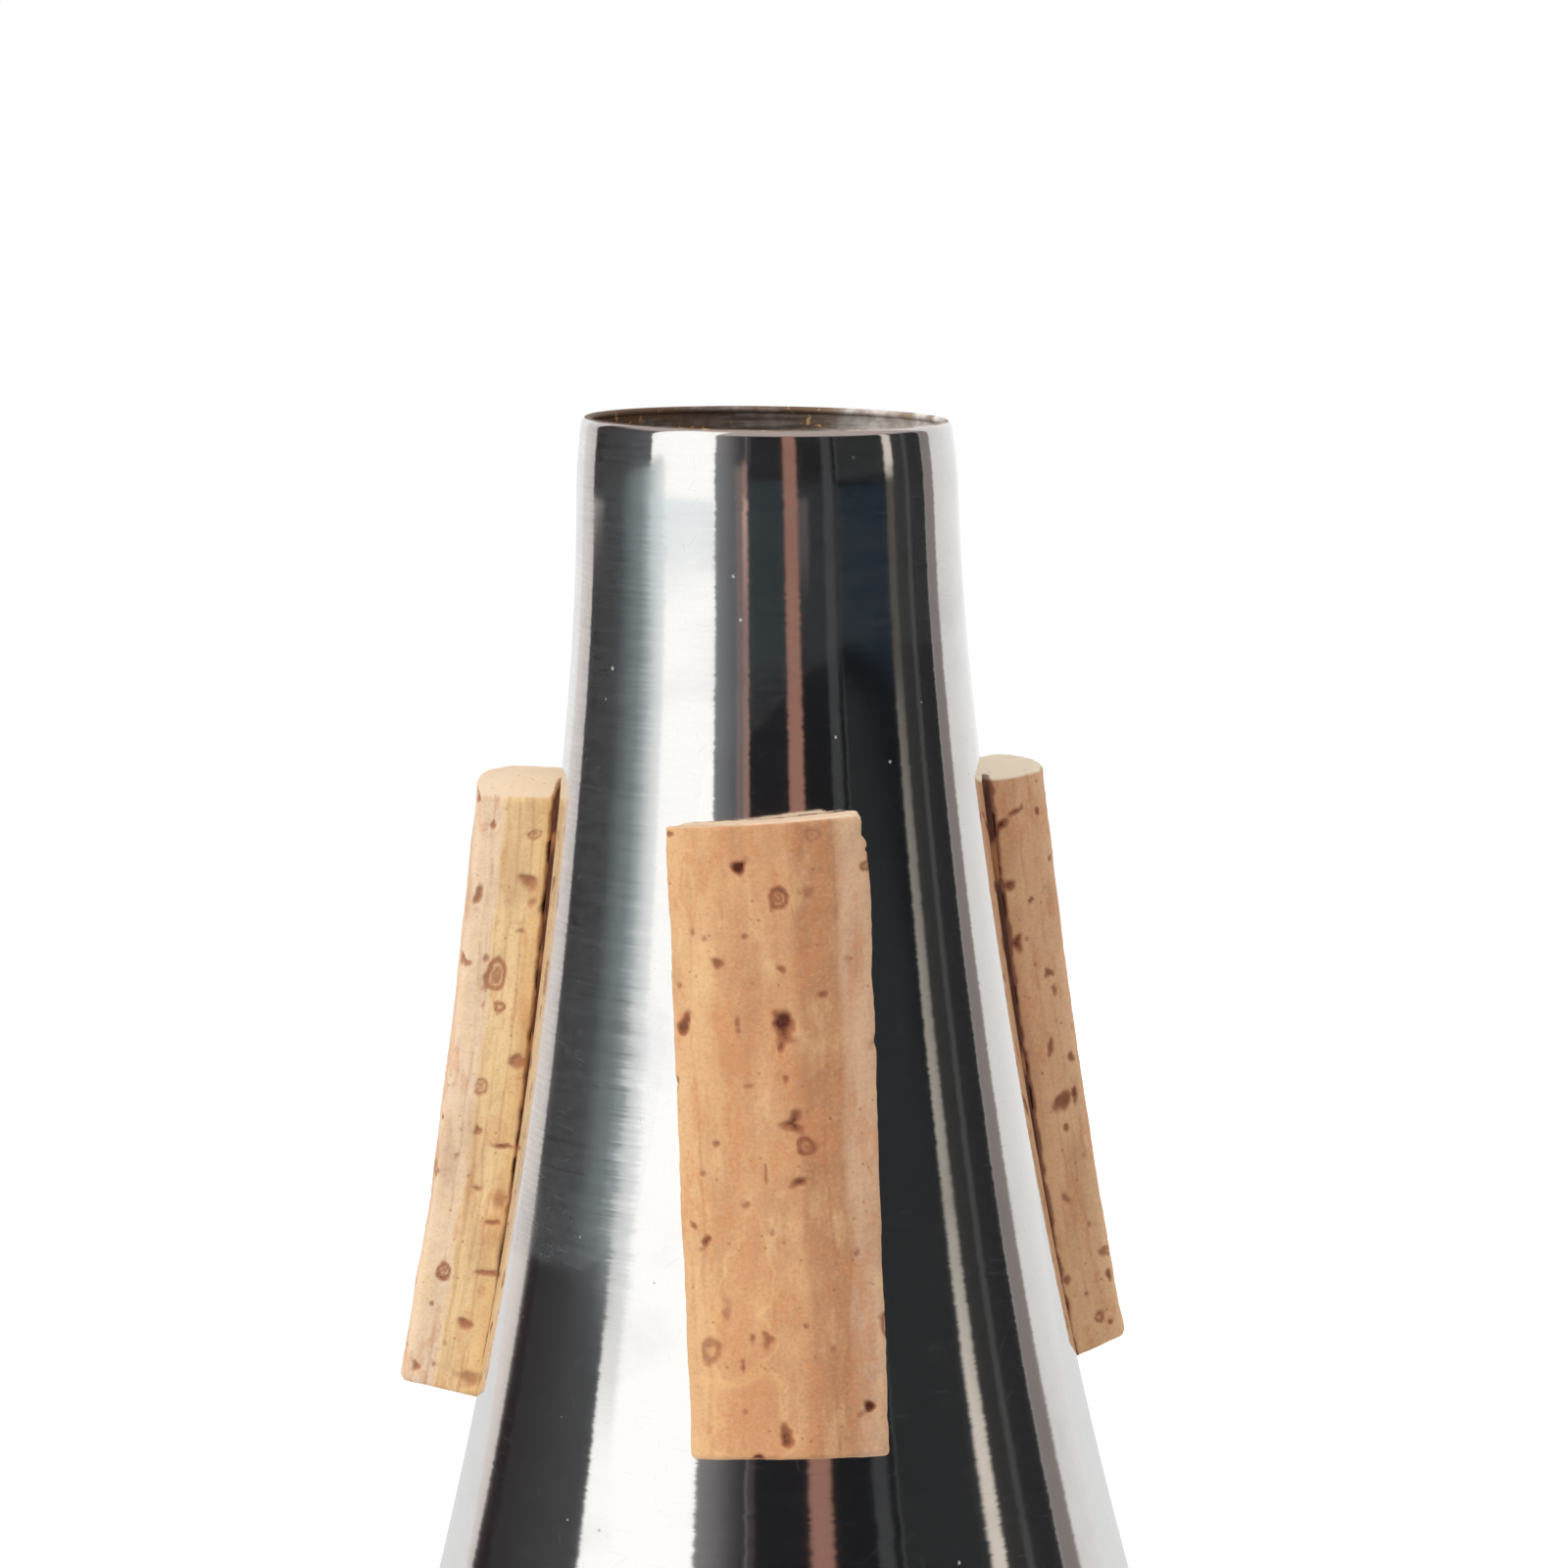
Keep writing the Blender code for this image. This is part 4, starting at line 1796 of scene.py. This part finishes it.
FRONT_MARKS = (
    Mark(-2.6, 4.8, 1.5, 2.0, 1.0, Shape.STAR, 20),
    Mark(0.9, 8.6, 1.5, 2.5, 0.72, Shape.RING),
    Mark(3.8, 8.3, 1.5, 2.1, 0.45, Shape.STAIN),
    Mark(4.5, 1.7, 1.5, 1.5, 0.36, Shape.RING),
    Mark(-9.6, 1.0, 1.0, 0.7, 0.7),
    Mark(-7.6, 12.2, 0.7, 0.8, 0.5),
    Mark(-6.4, 12.9, 0.8, 0.9, 0.45),
    Mark(-2.3, 12.7, 0.9, 0.9, 0.55),
    Mark(-5.1, 15.8, 1.5, 1.7, 0.72),
    Mark(0.9, 16.6, 0.8, 1.4, 0.6, Shape.PIT, -35),
    Mark(-1.9, 17.9, 0.6, 0.8, 0.4),
    Mark(-9.1, 18.2, 0.8, 1.1, 0.5),
    Mark(-8.9, 22.4, 1.1, 3.6, 0.85, Shape.PIT, 12),
    Mark(-3.5, 22.6, 0.7, 2.9, 0.62),
    Mark(1.0, 22.6, 2.0, 4.4, 1.0, Shape.PIT, 4),
    Mark(0.6, 25.2, 0.8, 2.2, 0.85, Shape.PIT, 8),
    Mark(4.9, 19.8, 1.3, 0.9, 0.62),
    Mark(7.3, 15.9, 1.0, 1.4, 0.34, Shape.STAIN),
    Mark(-10.0, 29.0, 0.8, 2.2, 0.6),
    Mark(-2.6, 29.6, 1.3, 0.9, 0.5, Shape.STAIN),
    Mark(0.9, 29.0, 0.6, 1.1, 0.55),
    Mark(1.4, 34.0, 2.3, 2.4, 1.0, Shape.STAR, 35),
    Mark(2.8, 36.8, 1.7, 2.0, 0.72, Shape.RING),
    Mark(-6.1, 36.0, 0.9, 1.1, 0.62),
    Mark(-1.4, 39.5, 0.5, 2.4, 0.55),
    Mark(1.7, 40.6, 2.0, 1.2, 0.9, Shape.PIT, -12),
    Mark(-7.6, 39.5, 0.7, 0.8, 0.5),
    Mark(-3.4, 43.0, 0.8, 1.0, 0.5),
    Mark(-8.8, 45.3, 0.7, 1.3, 0.65, Shape.PIT, -25),
    Mark(-7.6, 47.2, 1.1, 1.9, 0.9, Shape.PIT, 20),
    Mark(-1.0, 46.2, 0.7, 1.1, 0.5),
    Mark(7.3, 49.0, 0.7, 1.2, 0.45),
    Mark(-5.7, 55.0, 1.3, 3.0, 0.42, Shape.STAIN),
    Mark(-7.4, 59.7, 2.2, 2.6, 0.42, Shape.RING),
    Mark(-3.3, 58.0, 0.7, 1.5, 0.6),
    Mark(-1.8, 58.3, 1.4, 2.3, 0.58, Shape.STAR),
    Mark(2.0, 56.9, 0.7, 1.1, 0.55),
    Mark(4.6, 59.5, 0.9, 1.0, 0.45),
    Mark(-4.4, 61.2, 0.7, 1.4, 0.72),
    Mark(-4.3, 66.3, 0.8, 0.9, 0.5),
    Mark(-0.3, 69.2, 1.4, 2.6, 0.85),
    Mark(8.2, 66.2, 1.2, 1.2, 1.0, Shape.STAR),
    Mark(7.1, 67.0, 1.6, 0.9, 0.55, Shape.STAIN, -30),
    Mark(-3.2, 71.6, 1.2, 1.0, 1.0),
    Mark(10.0, 0.4, 1.8, 8.0, 0.9, Shape.CHIP, -6),
    Mark(-2.7, 46.0, 1.8, 5.5, 0.9, Shape.FLAME, -10),
    Mark(-3.8, 51.5, 4.6, 8.0, 1.0, Shape.FLAME, 5),
    Mark(-4.1, 58.5, 5.6, 9.0, 1.0, Shape.FLAME),
    Mark(-3.5, 67.0, 8.4, 12.0, 1.0, Shape.FLAME),
    Mark(3.0, 30.0, 4.0, 9.0, 0.2, Shape.STAIN),
    Mark(-4.5, 27.0, 4.0, 12.0, 0.16, Shape.STAIN, 10),
)

LEFT_MARKS = (
    Mark(7.3, 3.8, 0.8, 1.3, 0.6),
    Mark(2.1, 4.8, 1.9, 1.1, 0.5, Shape.RING),
    Mark(1.9, 10.8, 3.0, 2.8, 0.6),
    Mark(1.4, 13.2, 1.5, 1.7, 0.42, Shape.STAIN),
    Mark(8.4, 12.8, 1.0, 2.7, 0.72, Shape.PIT, -12),
    Mark(2.5, 17.0, 1.7, 0.9, 0.5),
    Mark(5.1, 22.8, 2.8, 3.6, 0.62, Shape.RING),
    Mark(5.1, 22.8, 2.0, 2.6, 0.45, Shape.STAIN),
    Mark(6.6, 20.5, 1.1, 1.2, 0.5),
    Mark(4.2, 26.8, 1.5, 1.6, 0.62, Shape.RING),
    Mark(6.4, 26.9, 0.6, 1.5, 0.45),
    Mark(1.1, 33.3, 2.6, 2.1, 0.6),
    Mark(5.4, 37.0, 1.5, 1.8, 0.5, Shape.RING),
    Mark(5.3, 42.5, 1.3, 1.4, 0.7, Shape.STAR),
    Mark(1.9, 44.3, 3.6, 0.75, 0.8, Shape.PIT, 3),
    Mark(7.6, 46.3, 0.7, 1.8, 0.5, Shape.PIT, -20),
    Mark(4.4, 50.0, 1.5, 1.0, 0.55),
    Mark(1.3, 50.9, 2.3, 2.3, 0.5, Shape.STAIN),
    Mark(1.9, 54.0, 3.0, 0.8, 0.7, Shape.PIT, 3),
    Mark(7.1, 61.0, 1.5, 2.1, 0.7, Shape.RING),
    Mark(1.6, 60.6, 3.2, 0.9, 0.68, Shape.PIT, 6),
    Mark(3.4, 67.6, 1.8, 1.8, 0.7, Shape.STAR, 45),
    Mark(8.0, 65.8, 0.7, 1.1, 0.6),
    Mark(5.6, 70.5, 0.6, 0.9, 0.5),
    Mark(6.5, 73.5, 1.0, 1.1, 0.72),
    Mark(8.7, 74.2, 1.7, 1.5, 0.62, Shape.STAR),
    Mark(2.1, 74.3, 3.4, 2.2, 0.5),
)

RIGHT_MARKS = (
    Mark(1.0, 5.6, 2.4, 1.1, 0.95, Shape.PIT, -20),
    Mark(2.9, 4.3, 2.2, 0.9, 0.8, Shape.PIT, -28),
    Mark(5.6, 4.9, 0.5, 1.4, 0.72),
    Mark(0.9, 13.0, 1.5, 1.6, 0.85),
    Mark(6.7, 11.0, 0.7, 0.8, 0.6),
    Mark(3.5, 15.4, 0.6, 1.1, 0.68, Shape.PIT, 25),
    Mark(1.0, 20.2, 1.6, 2.2, 0.9, Shape.STAR),
    Mark(2.4, 20.0, 0.6, 0.8, 0.5),
    Mark(3.1, 23.4, 0.7, 1.0, 0.6),
    Mark(4.5, 24.8, 1.4, 1.4, 0.72, Shape.STAR),
    Mark(5.0, 27.0, 0.7, 1.5, 0.62),
    Mark(3.4, 34.0, 0.7, 2.2, 0.75, Shape.PIT, 18),
    Mark(5.9, 35.6, 0.9, 1.7, 0.72),
    Mark(4.0, 40.9, 2.2, 2.7, 0.75, Shape.STAR, 20),
    Mark(5.6, 40.5, 0.8, 2.2, 0.85),
    Mark(3.9, 44.0, 0.7, 1.3, 0.75),
    Mark(5.7, 48.2, 0.7, 1.1, 0.36),
    Mark(2.5, 52.7, 0.8, 1.7, 0.5, Shape.PIT, -30),
    Mark(4.9, 56.8, 0.7, 1.3, 0.42),
    Mark(0.7, 62.5, 1.0, 2.0, 0.68),
    Mark(6.2, 63.8, 0.8, 1.9, 0.8),
    Mark(2.9, 65.0, 0.7, 0.8, 0.55),
    Mark(4.1, 68.4, 1.3, 1.5, 0.55, Shape.RING),
    Mark(5.3, 69.6, 0.8, 1.0, 0.7),
)

STRIPS = (
    CorkStrip(
        side="front",
        azimuth=0.45,
        drop=44.0,
        length=71.7,
        width=20.2,
        top_thickness=8.0,
        end_thickness=8.0,
        lean=1.1,
        top_skew=0.6,
        crown=1.6,
        uneven=0.3,
        squeeze=0.0,
        cell=0.25,
        shown_face=Face.OUTER,
        marks=FRONT_MARKS,
        seed=11,
        finish=CorkFinish(
            name="front_cork",
            low_tone=paint(220, 174, 128),
            middle_tone=paint(208, 156, 114),
            high_tone=paint(217, 176, 143),
            low_side=-6.0,
            high_side=6.4,
            growth=(-7.9, 4.9, 6.3),
            band=(2.4, 7.0),
            band_share=0.5,
            line_share=0.3,
        ),
    ),
    CorkStrip(
        side="left",
        azimuth=-120,
        drop=43.4,
        length=76.6,
        top_thickness=9.1,
        end_thickness=10.1,
        top_cut=0.12,
        end_cut=0.09,
        bow=5.9,
        dip=0.1,
        nip=1.8,
        crown=2.6,
        fullness=3.0,
        uneven=0.4,
        shown_face=Face.HIGH_SIDE,
        marks=LEFT_MARKS,
        seed=23,
        seat_top=0.15,
        nibble=0.35,
        stain=0.3,
        finish=CorkFinish(
            name="left_cork",
            low_tone=paint(228, 184, 128),
            middle_tone=paint(236, 202, 152),
            high_tone=paint(234, 206, 176),
            low_side=2.0,
            high_side=6.2,
            growth=(2.6, 4.3, 5.7, 7.4),
            line_share=0.3,
            pore_rim=paint(164, 102, 72),
            end_grain_and_light=paint(230, 206, 178),
            glue_stain=paint(150, 88, 40),
            tone_axis=2,
        ),
    ),
    CorkStrip(
        side="right",
        azimuth=120,
        drop=43.9,
        length=72.0,
        top_thickness=6.5,
        end_thickness=6.7,
        end_cut=-0.12,
        crown=2.5,
        bow=2.2,
        dip=0.2,
        uneven=0.35,
        shown_face=Face.LOW_SIDE,
        marks=RIGHT_MARKS,
        seed=37,
        seat_top=0.25,
        seat_end=0.35,
        nibble=0.4,
        stain=0.5,
        squeeze=0.8,
        finish=CorkFinish(
            name="right_cork",
            low_tone=paint(216, 163, 122),
            middle_tone=paint(222, 172, 133),
            high_tone=paint(226, 180, 142),
            low_side=1.5,
            high_side=5.0,
            growth=(3.1, 4.6),
            line_share=0.22,
            pale_share=0.4,
            faded=0.16,
            # Near white: painted light on this strip's top end, over its end grain.
            end_grain_and_light=paint(255, 244, 218),
            glue_stain=paint(122, 62, 38),
            tone_axis=2,
        ),
    ),
)


NADIR, ZENITH = -90.0, 90.0


@dataclass(frozen=True)
class Card:
    """A stretch of the studio that the metal shows, by its direction in degrees.

    Attributes:
        name: what it is.
        start: azimuth where it starts.
        end: azimuth where it ends.
        near: colour at its start.
        far: colour at its end; the same as near where this is left out.
        soft: how wide its soft sides are.
        low: lowest elevation.
        high: highest elevation.
        fade: how wide its soft ends are.
        cover: how much it covers what is behind it.
        lean: how much higher its ends are for each degree on from its start.
    """

    name: str
    start: float
    end: float
    near: Colour
    far: Colour | None = None
    soft: float = 2.0
    low: float = NADIR
    high: float = ZENITH
    fade: float = 4.0
    cover: float = 1.0
    lean: float = 0.0


CARDS = (
    Card("ceiling", -180, 180, paint(168, 154, 148), low=21, fade=12),
    Card("grey_screen", -148, -129, paint(216, 209, 206), paint(198, 190, 187), soft=6),
    Card("back_wall", -129, -73, paint(45, 42, 43), paint(64, 64, 65), soft=1.6, high=34, fade=20),
    Card("back_wall_brown", -129, -119, paint(34, 25, 25), soft=5, high=30, fade=20, cover=0.8),
    Card("upper_corner", -142, -116, paint(214, 205, 200), paint(170, 164, 160), soft=8, high=-4.1, fade=0.5),
    Card("window", -74.5, -31.2, paint(255, 254, 251), soft=1.2, high=62, fade=16),
    Card(
        "far_glow",
        -102, -80, paint(56, 58, 60), paint(112, 120, 123), soft=4, high=-0.4, fade=0.8, lean=0.13,
    ),
    Card(
        "near_glow",
        -81, -64, paint(130, 139, 142), paint(224, 227, 226), soft=4, high=2.3, fade=0.8, lean=0.13,
    ),
    Card("sill", -78, -66, paint(56, 60, 64), soft=4, low=2.5, high=3.7, fade=0.8, cover=0.35, lean=0.13),
    Card("window_haze", -75, -32, paint(200, 212, 218), soft=4, high=-1.6, fade=1.8, cover=0.55),
    Card("post", -31.2, -12.5, paint(116, 114, 114), paint(50, 48, 50), soft=1.2, high=24, fade=14),
    Card("post_lit", -31.2, -18, paint(112, 114, 115), paint(84, 86, 89), soft=1.2, high=5.6, fade=0.8),
    Card("rail_shadow", -19, -14, paint(110, 98, 95), soft=1.6, high=5.6, fade=0.8),
    Card("door", -12.5, 10.5, paint(27, 26, 29), soft=1.2, high=24, fade=14),
    Card("door_low", -12.5, 10.5, paint(38, 45, 49), soft=1.2, high=2.9, fade=0.9),
    Card("thin_rail", -14.9, -11.9, paint(140, 112, 104), soft=1.0, high=6.4, fade=1.0),
    Card("thin_rail_lit", -14.7, -12.1, paint(178, 148, 138), soft=1.0, high=-1.0, fade=2.4),
    Card("thin_rail_top", -12.6, -9.6, paint(72, 64, 64), soft=1.5, low=6.4, high=20, fade=1, cover=0.7),
    Card("cupboard", 10, 43, paint(23, 24, 26), soft=1.5, high=24, fade=14),
    Card("cupboard_low", 18, 43, paint(38, 40, 42), soft=1.5, high=1.9, fade=0.9),
    Card("copper_glow", 16.5, 24, paint(88, 80, 82), soft=3, low=-4.2, high=-1.0, fade=1.4, cover=0.8),
    Card("copper_rail", 9.9, 17.8, paint(142, 104, 91), soft=2.2, high=22, fade=12),
    Card("dim_rail", 33.5, 39.5, paint(64, 65, 66), soft=2, high=22, fade=12, cover=0.8),
    Card("curtain", 42.5, 77, paint(39, 40, 41), soft=1.5, high=24, fade=14),
    Card("curtain_shade", 42.5, 77, paint(16, 19, 22), soft=2, low=0.8, high=2.4, fade=0.8),
    Card("curtain_low", 44, 75, paint(28, 37, 44), paint(25, 32, 43), soft=4, high=0.9, fade=0.7),
    Card("brown_wall", 76, 109.5, paint(50, 49, 47), paint(36, 36, 37), soft=1.5, high=24, fade=14),
    Card("beige_rail", 76.4, 81.8, paint(76, 72, 67), soft=2.2, high=22, fade=1.2),
    Card("beige_rail_mid", 76.4, 81.8, paint(128, 123, 116), soft=2.2, low=1.3, high=22, fade=0.9),
    Card("beige_rail_lit", 76.4, 82, paint(164, 158, 149), soft=2, low=2.0, high=22, fade=0.6),
    Card("beige_rail_top", 76.8, 82.6, paint(204, 194, 184), soft=1.8, low=3.4, high=22, fade=1.6),
    Card("faint_rail", 91.5, 95, paint(72, 72, 72), soft=2, high=20, fade=10, cover=0.8),
    Card("mauve_wall", 109.5, 120, paint(123, 115, 112), soft=1.5, high=24, fade=14),
    Card("pale_screen", 119.5, 160, paint(207, 204, 202), paint(226, 225, 224), soft=2.5, high=60, fade=30),
)


@dataclass(frozen=True)
class Studio:
    """Floor, lamps, surroundings and camera. None of it belongs to the mute.

    Attributes:
        distance: how far the camera is from its target.
        pitch: degrees that it looks down.
        roll: degrees that it is turned about its own axis.
        target_drop: how far below the rim it aims.
        target_aside: how far to the right of the axis it aims.
        mirrored_floor: the floor as the metal shows it.
        floor_lift: how much the floor glows to the camera.
        floor_drop: how far it is below the mute, so that no face of theirs is in one plane.
        plain_level: brightness of the surroundings to all but the camera and the metal.
        room: the studio where there is no card.
        metal_share: share of the light that the metal sends back, which the studio makes up for.
        wobble: degrees that the studio's upright borders waver.
    """

    lens: float = 137.4
    sensor: float = 36.0
    distance: float = 0.700
    pitch: float = 8.0
    roll: float = -0.8
    target_drop: float = 43.6 * MM
    target_aside: float = 1.45 * MM
    floor_radius: float = 0.9
    floor_steps: int = 96
    floor_colour: Colour = (0.8, 0.8, 0.8)
    mirrored_floor: Colour = (0.64, 0.64, 0.64)
    floor_lift: float = 0.35
    floor_drop: float = 0.05 * MM
    plain_level: float = 0.50
    room: Colour = paint(232, 232, 230)
    metal_share: float = 0.90
    wobble: float = 1.0

    def build(self) -> None:
        """Set up everything round the mute."""
        self.add_floor()
        self.add_lamp("key_lamp", azimuth=-55, elevation=38, strength=1.75, spread=28)
        self.add_lamp("top_lamp", azimuth=20, elevation=72, strength=0.75, spread=40)
        self.add_lamp("back_lamp", azimuth=150, elevation=35, strength=0.5, spread=40)
        self.add_surroundings()
        self.add_camera()
        bpy.context.scene.view_settings.view_transform = "Standard"

    def add_floor(self) -> None:
        """A plain pale disc that is white to the camera and keeps the mute's shadow."""
        mesh = bpy.data.meshes.new("floor")
        shape = bmesh.new()
        bmesh.ops.create_circle(shape, cap_ends=True, segments=self.floor_steps, radius=self.floor_radius)
        shape.to_mesh(mesh)
        shape.free()
        material, board = new_material("pale_floor")
        path = board.add("ShaderNodeLightPath", out="Is Camera Ray")
        seen = path + path.twin("Is Transmission Ray")
        tone = board.blend(path.twin("Is Glossy Ray"), self.floor_colour, self.mirrored_floor)
        matt = board.add("ShaderNodeBsdfDiffuse", {}, {"Color": tone})
        glow = board.add("ShaderNodeEmission", {}, {"Color": WHITE, "Strength": seen * self.floor_lift})
        board.finish(board.add("ShaderNodeAddShader", {}, {0: matt, 1: glow}))
        mesh.materials.append(material)
        floor = bpy.data.objects.new("floor", mesh)
        floor.location.z = -self.floor_drop
        bpy.context.scene.collection.objects.link(floor)

    def add_lamp(self, name: str, azimuth: float, elevation: float, strength: float, spread: float) -> None:
        """Add a wide, far lamp.

        Args:
            name: the lamp's name.
            azimuth: degrees from the front, towards the right.
            elevation: degrees over the floor.
            strength: light that it throws on a face square to it.
            spread: how wide it looks from the mute, in degrees.
        """
        lamp = bpy.data.lights.new(name, "SUN")
        lamp.energy = strength
        lamp.angle = radians(spread)
        holder = bpy.data.objects.new(name, lamp)
        turn, lift = radians(azimuth), radians(elevation)
        towards = Vector((sin(turn) * cos(lift), -cos(turn) * cos(lift), sin(lift)))
        holder.rotation_euler = towards.to_track_quat("Z", "Y").to_euler()
        holder.visible_glossy = False
        bpy.context.scene.collection.objects.link(holder)

    def panorama(self, board: Board) -> Wire:
        """What the metal shows: a studio with a window on the left and dark cupboards ahead."""
        direction = board.add("ShaderNodeTexCoord", out="Generated")
        sideways, away, up = board.split(direction)
        elevation = up.maths("ARCSINE", up) * (180 / pi)
        waver = board.noise(board.stretch(direction, (2, 2, 22)), 1.0, 3.0) - 0.5
        azimuth = sideways.maths("ARCTAN2", sideways, 0 - away) * (180 / pi) + waver * self.wobble
        colour: Shade = self.room
        for card in CARDS:
            shade: Shade = card.near
            if card.far:
                middle, reach = (card.start + card.end) / 2, card.end - card.start
                shade = board.tint(card.near, card.far, azimuth, (middle, reach))
            cover = board.between(azimuth, card.start, card.end, card.soft) * card.cover
            level = elevation - (azimuth - card.start) * card.lean if card.lean else elevation
            if card.low > NADIR:
                cover = cover * board.step(level, card.low, card.fade)
            if card.high < ZENITH:
                cover = cover * (1 - board.step(level, card.high, card.fade))
            colour = board.blend(cover, colour, shade)
        return colour

    def add_surroundings(self) -> None:
        """White to the camera, the studio to the metal, and a plain even light to all the rest."""
        world = bpy.data.worlds.new("surroundings")
        bpy.context.scene.world = world
        world.use_nodes = True
        world.cycles.sampling_method = "NONE"
        board = Board(world.node_tree)
        path = board.add("ShaderNodeLightPath", out="Is Camera Ray")
        plain = (self.plain_level,) * 3
        mirrored = path.twin("Is Glossy Ray")
        colour = board.blend(mirrored, plain, self.panorama(board))
        colour = board.blend(path, colour, WHITE)
        strength = 1 + mirrored * (1 / self.metal_share - 1)
        sky = board.add("ShaderNodeBackground", {}, {"Color": colour, "Strength": strength})
        board.add("ShaderNodeOutputWorld", {}, {0: sky})

    def add_camera(self) -> None:
        """The photograph's view: a long lens a little over the neck's height."""
        camera = bpy.data.cameras.new("camera")
        camera.lens = self.lens
        camera.sensor_width = self.sensor
        pitch = radians(self.pitch)
        turn = Matrix.Rotation(pi / 2 - pitch, 4, "X") @ Matrix.Rotation(radians(self.roll), 4, "Z")
        target = Vector((self.target_aside, 0.0, WALL.height - self.target_drop))
        back = Vector((0.0, -cos(pitch), sin(pitch)))
        holder = bpy.data.objects.new("camera", camera)
        holder.matrix_world = Matrix.Translation(target + self.distance * back) @ turn
        bpy.context.scene.collection.objects.link(holder)
        bpy.context.scene.camera = holder


def main() -> None:
    """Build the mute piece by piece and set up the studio."""
    logging.basicConfig(level=logging.INFO, format="%(name)s: %(message)s")
    SpunShell().build(PolishedMetal(), DullMetal())
    EndCap().build(SpunPlate())
    glue = GlueFinish()
    for strip in STRIPS:
        strip.build(glue)
    Studio().build()


if __name__ == "__main__":
    main()
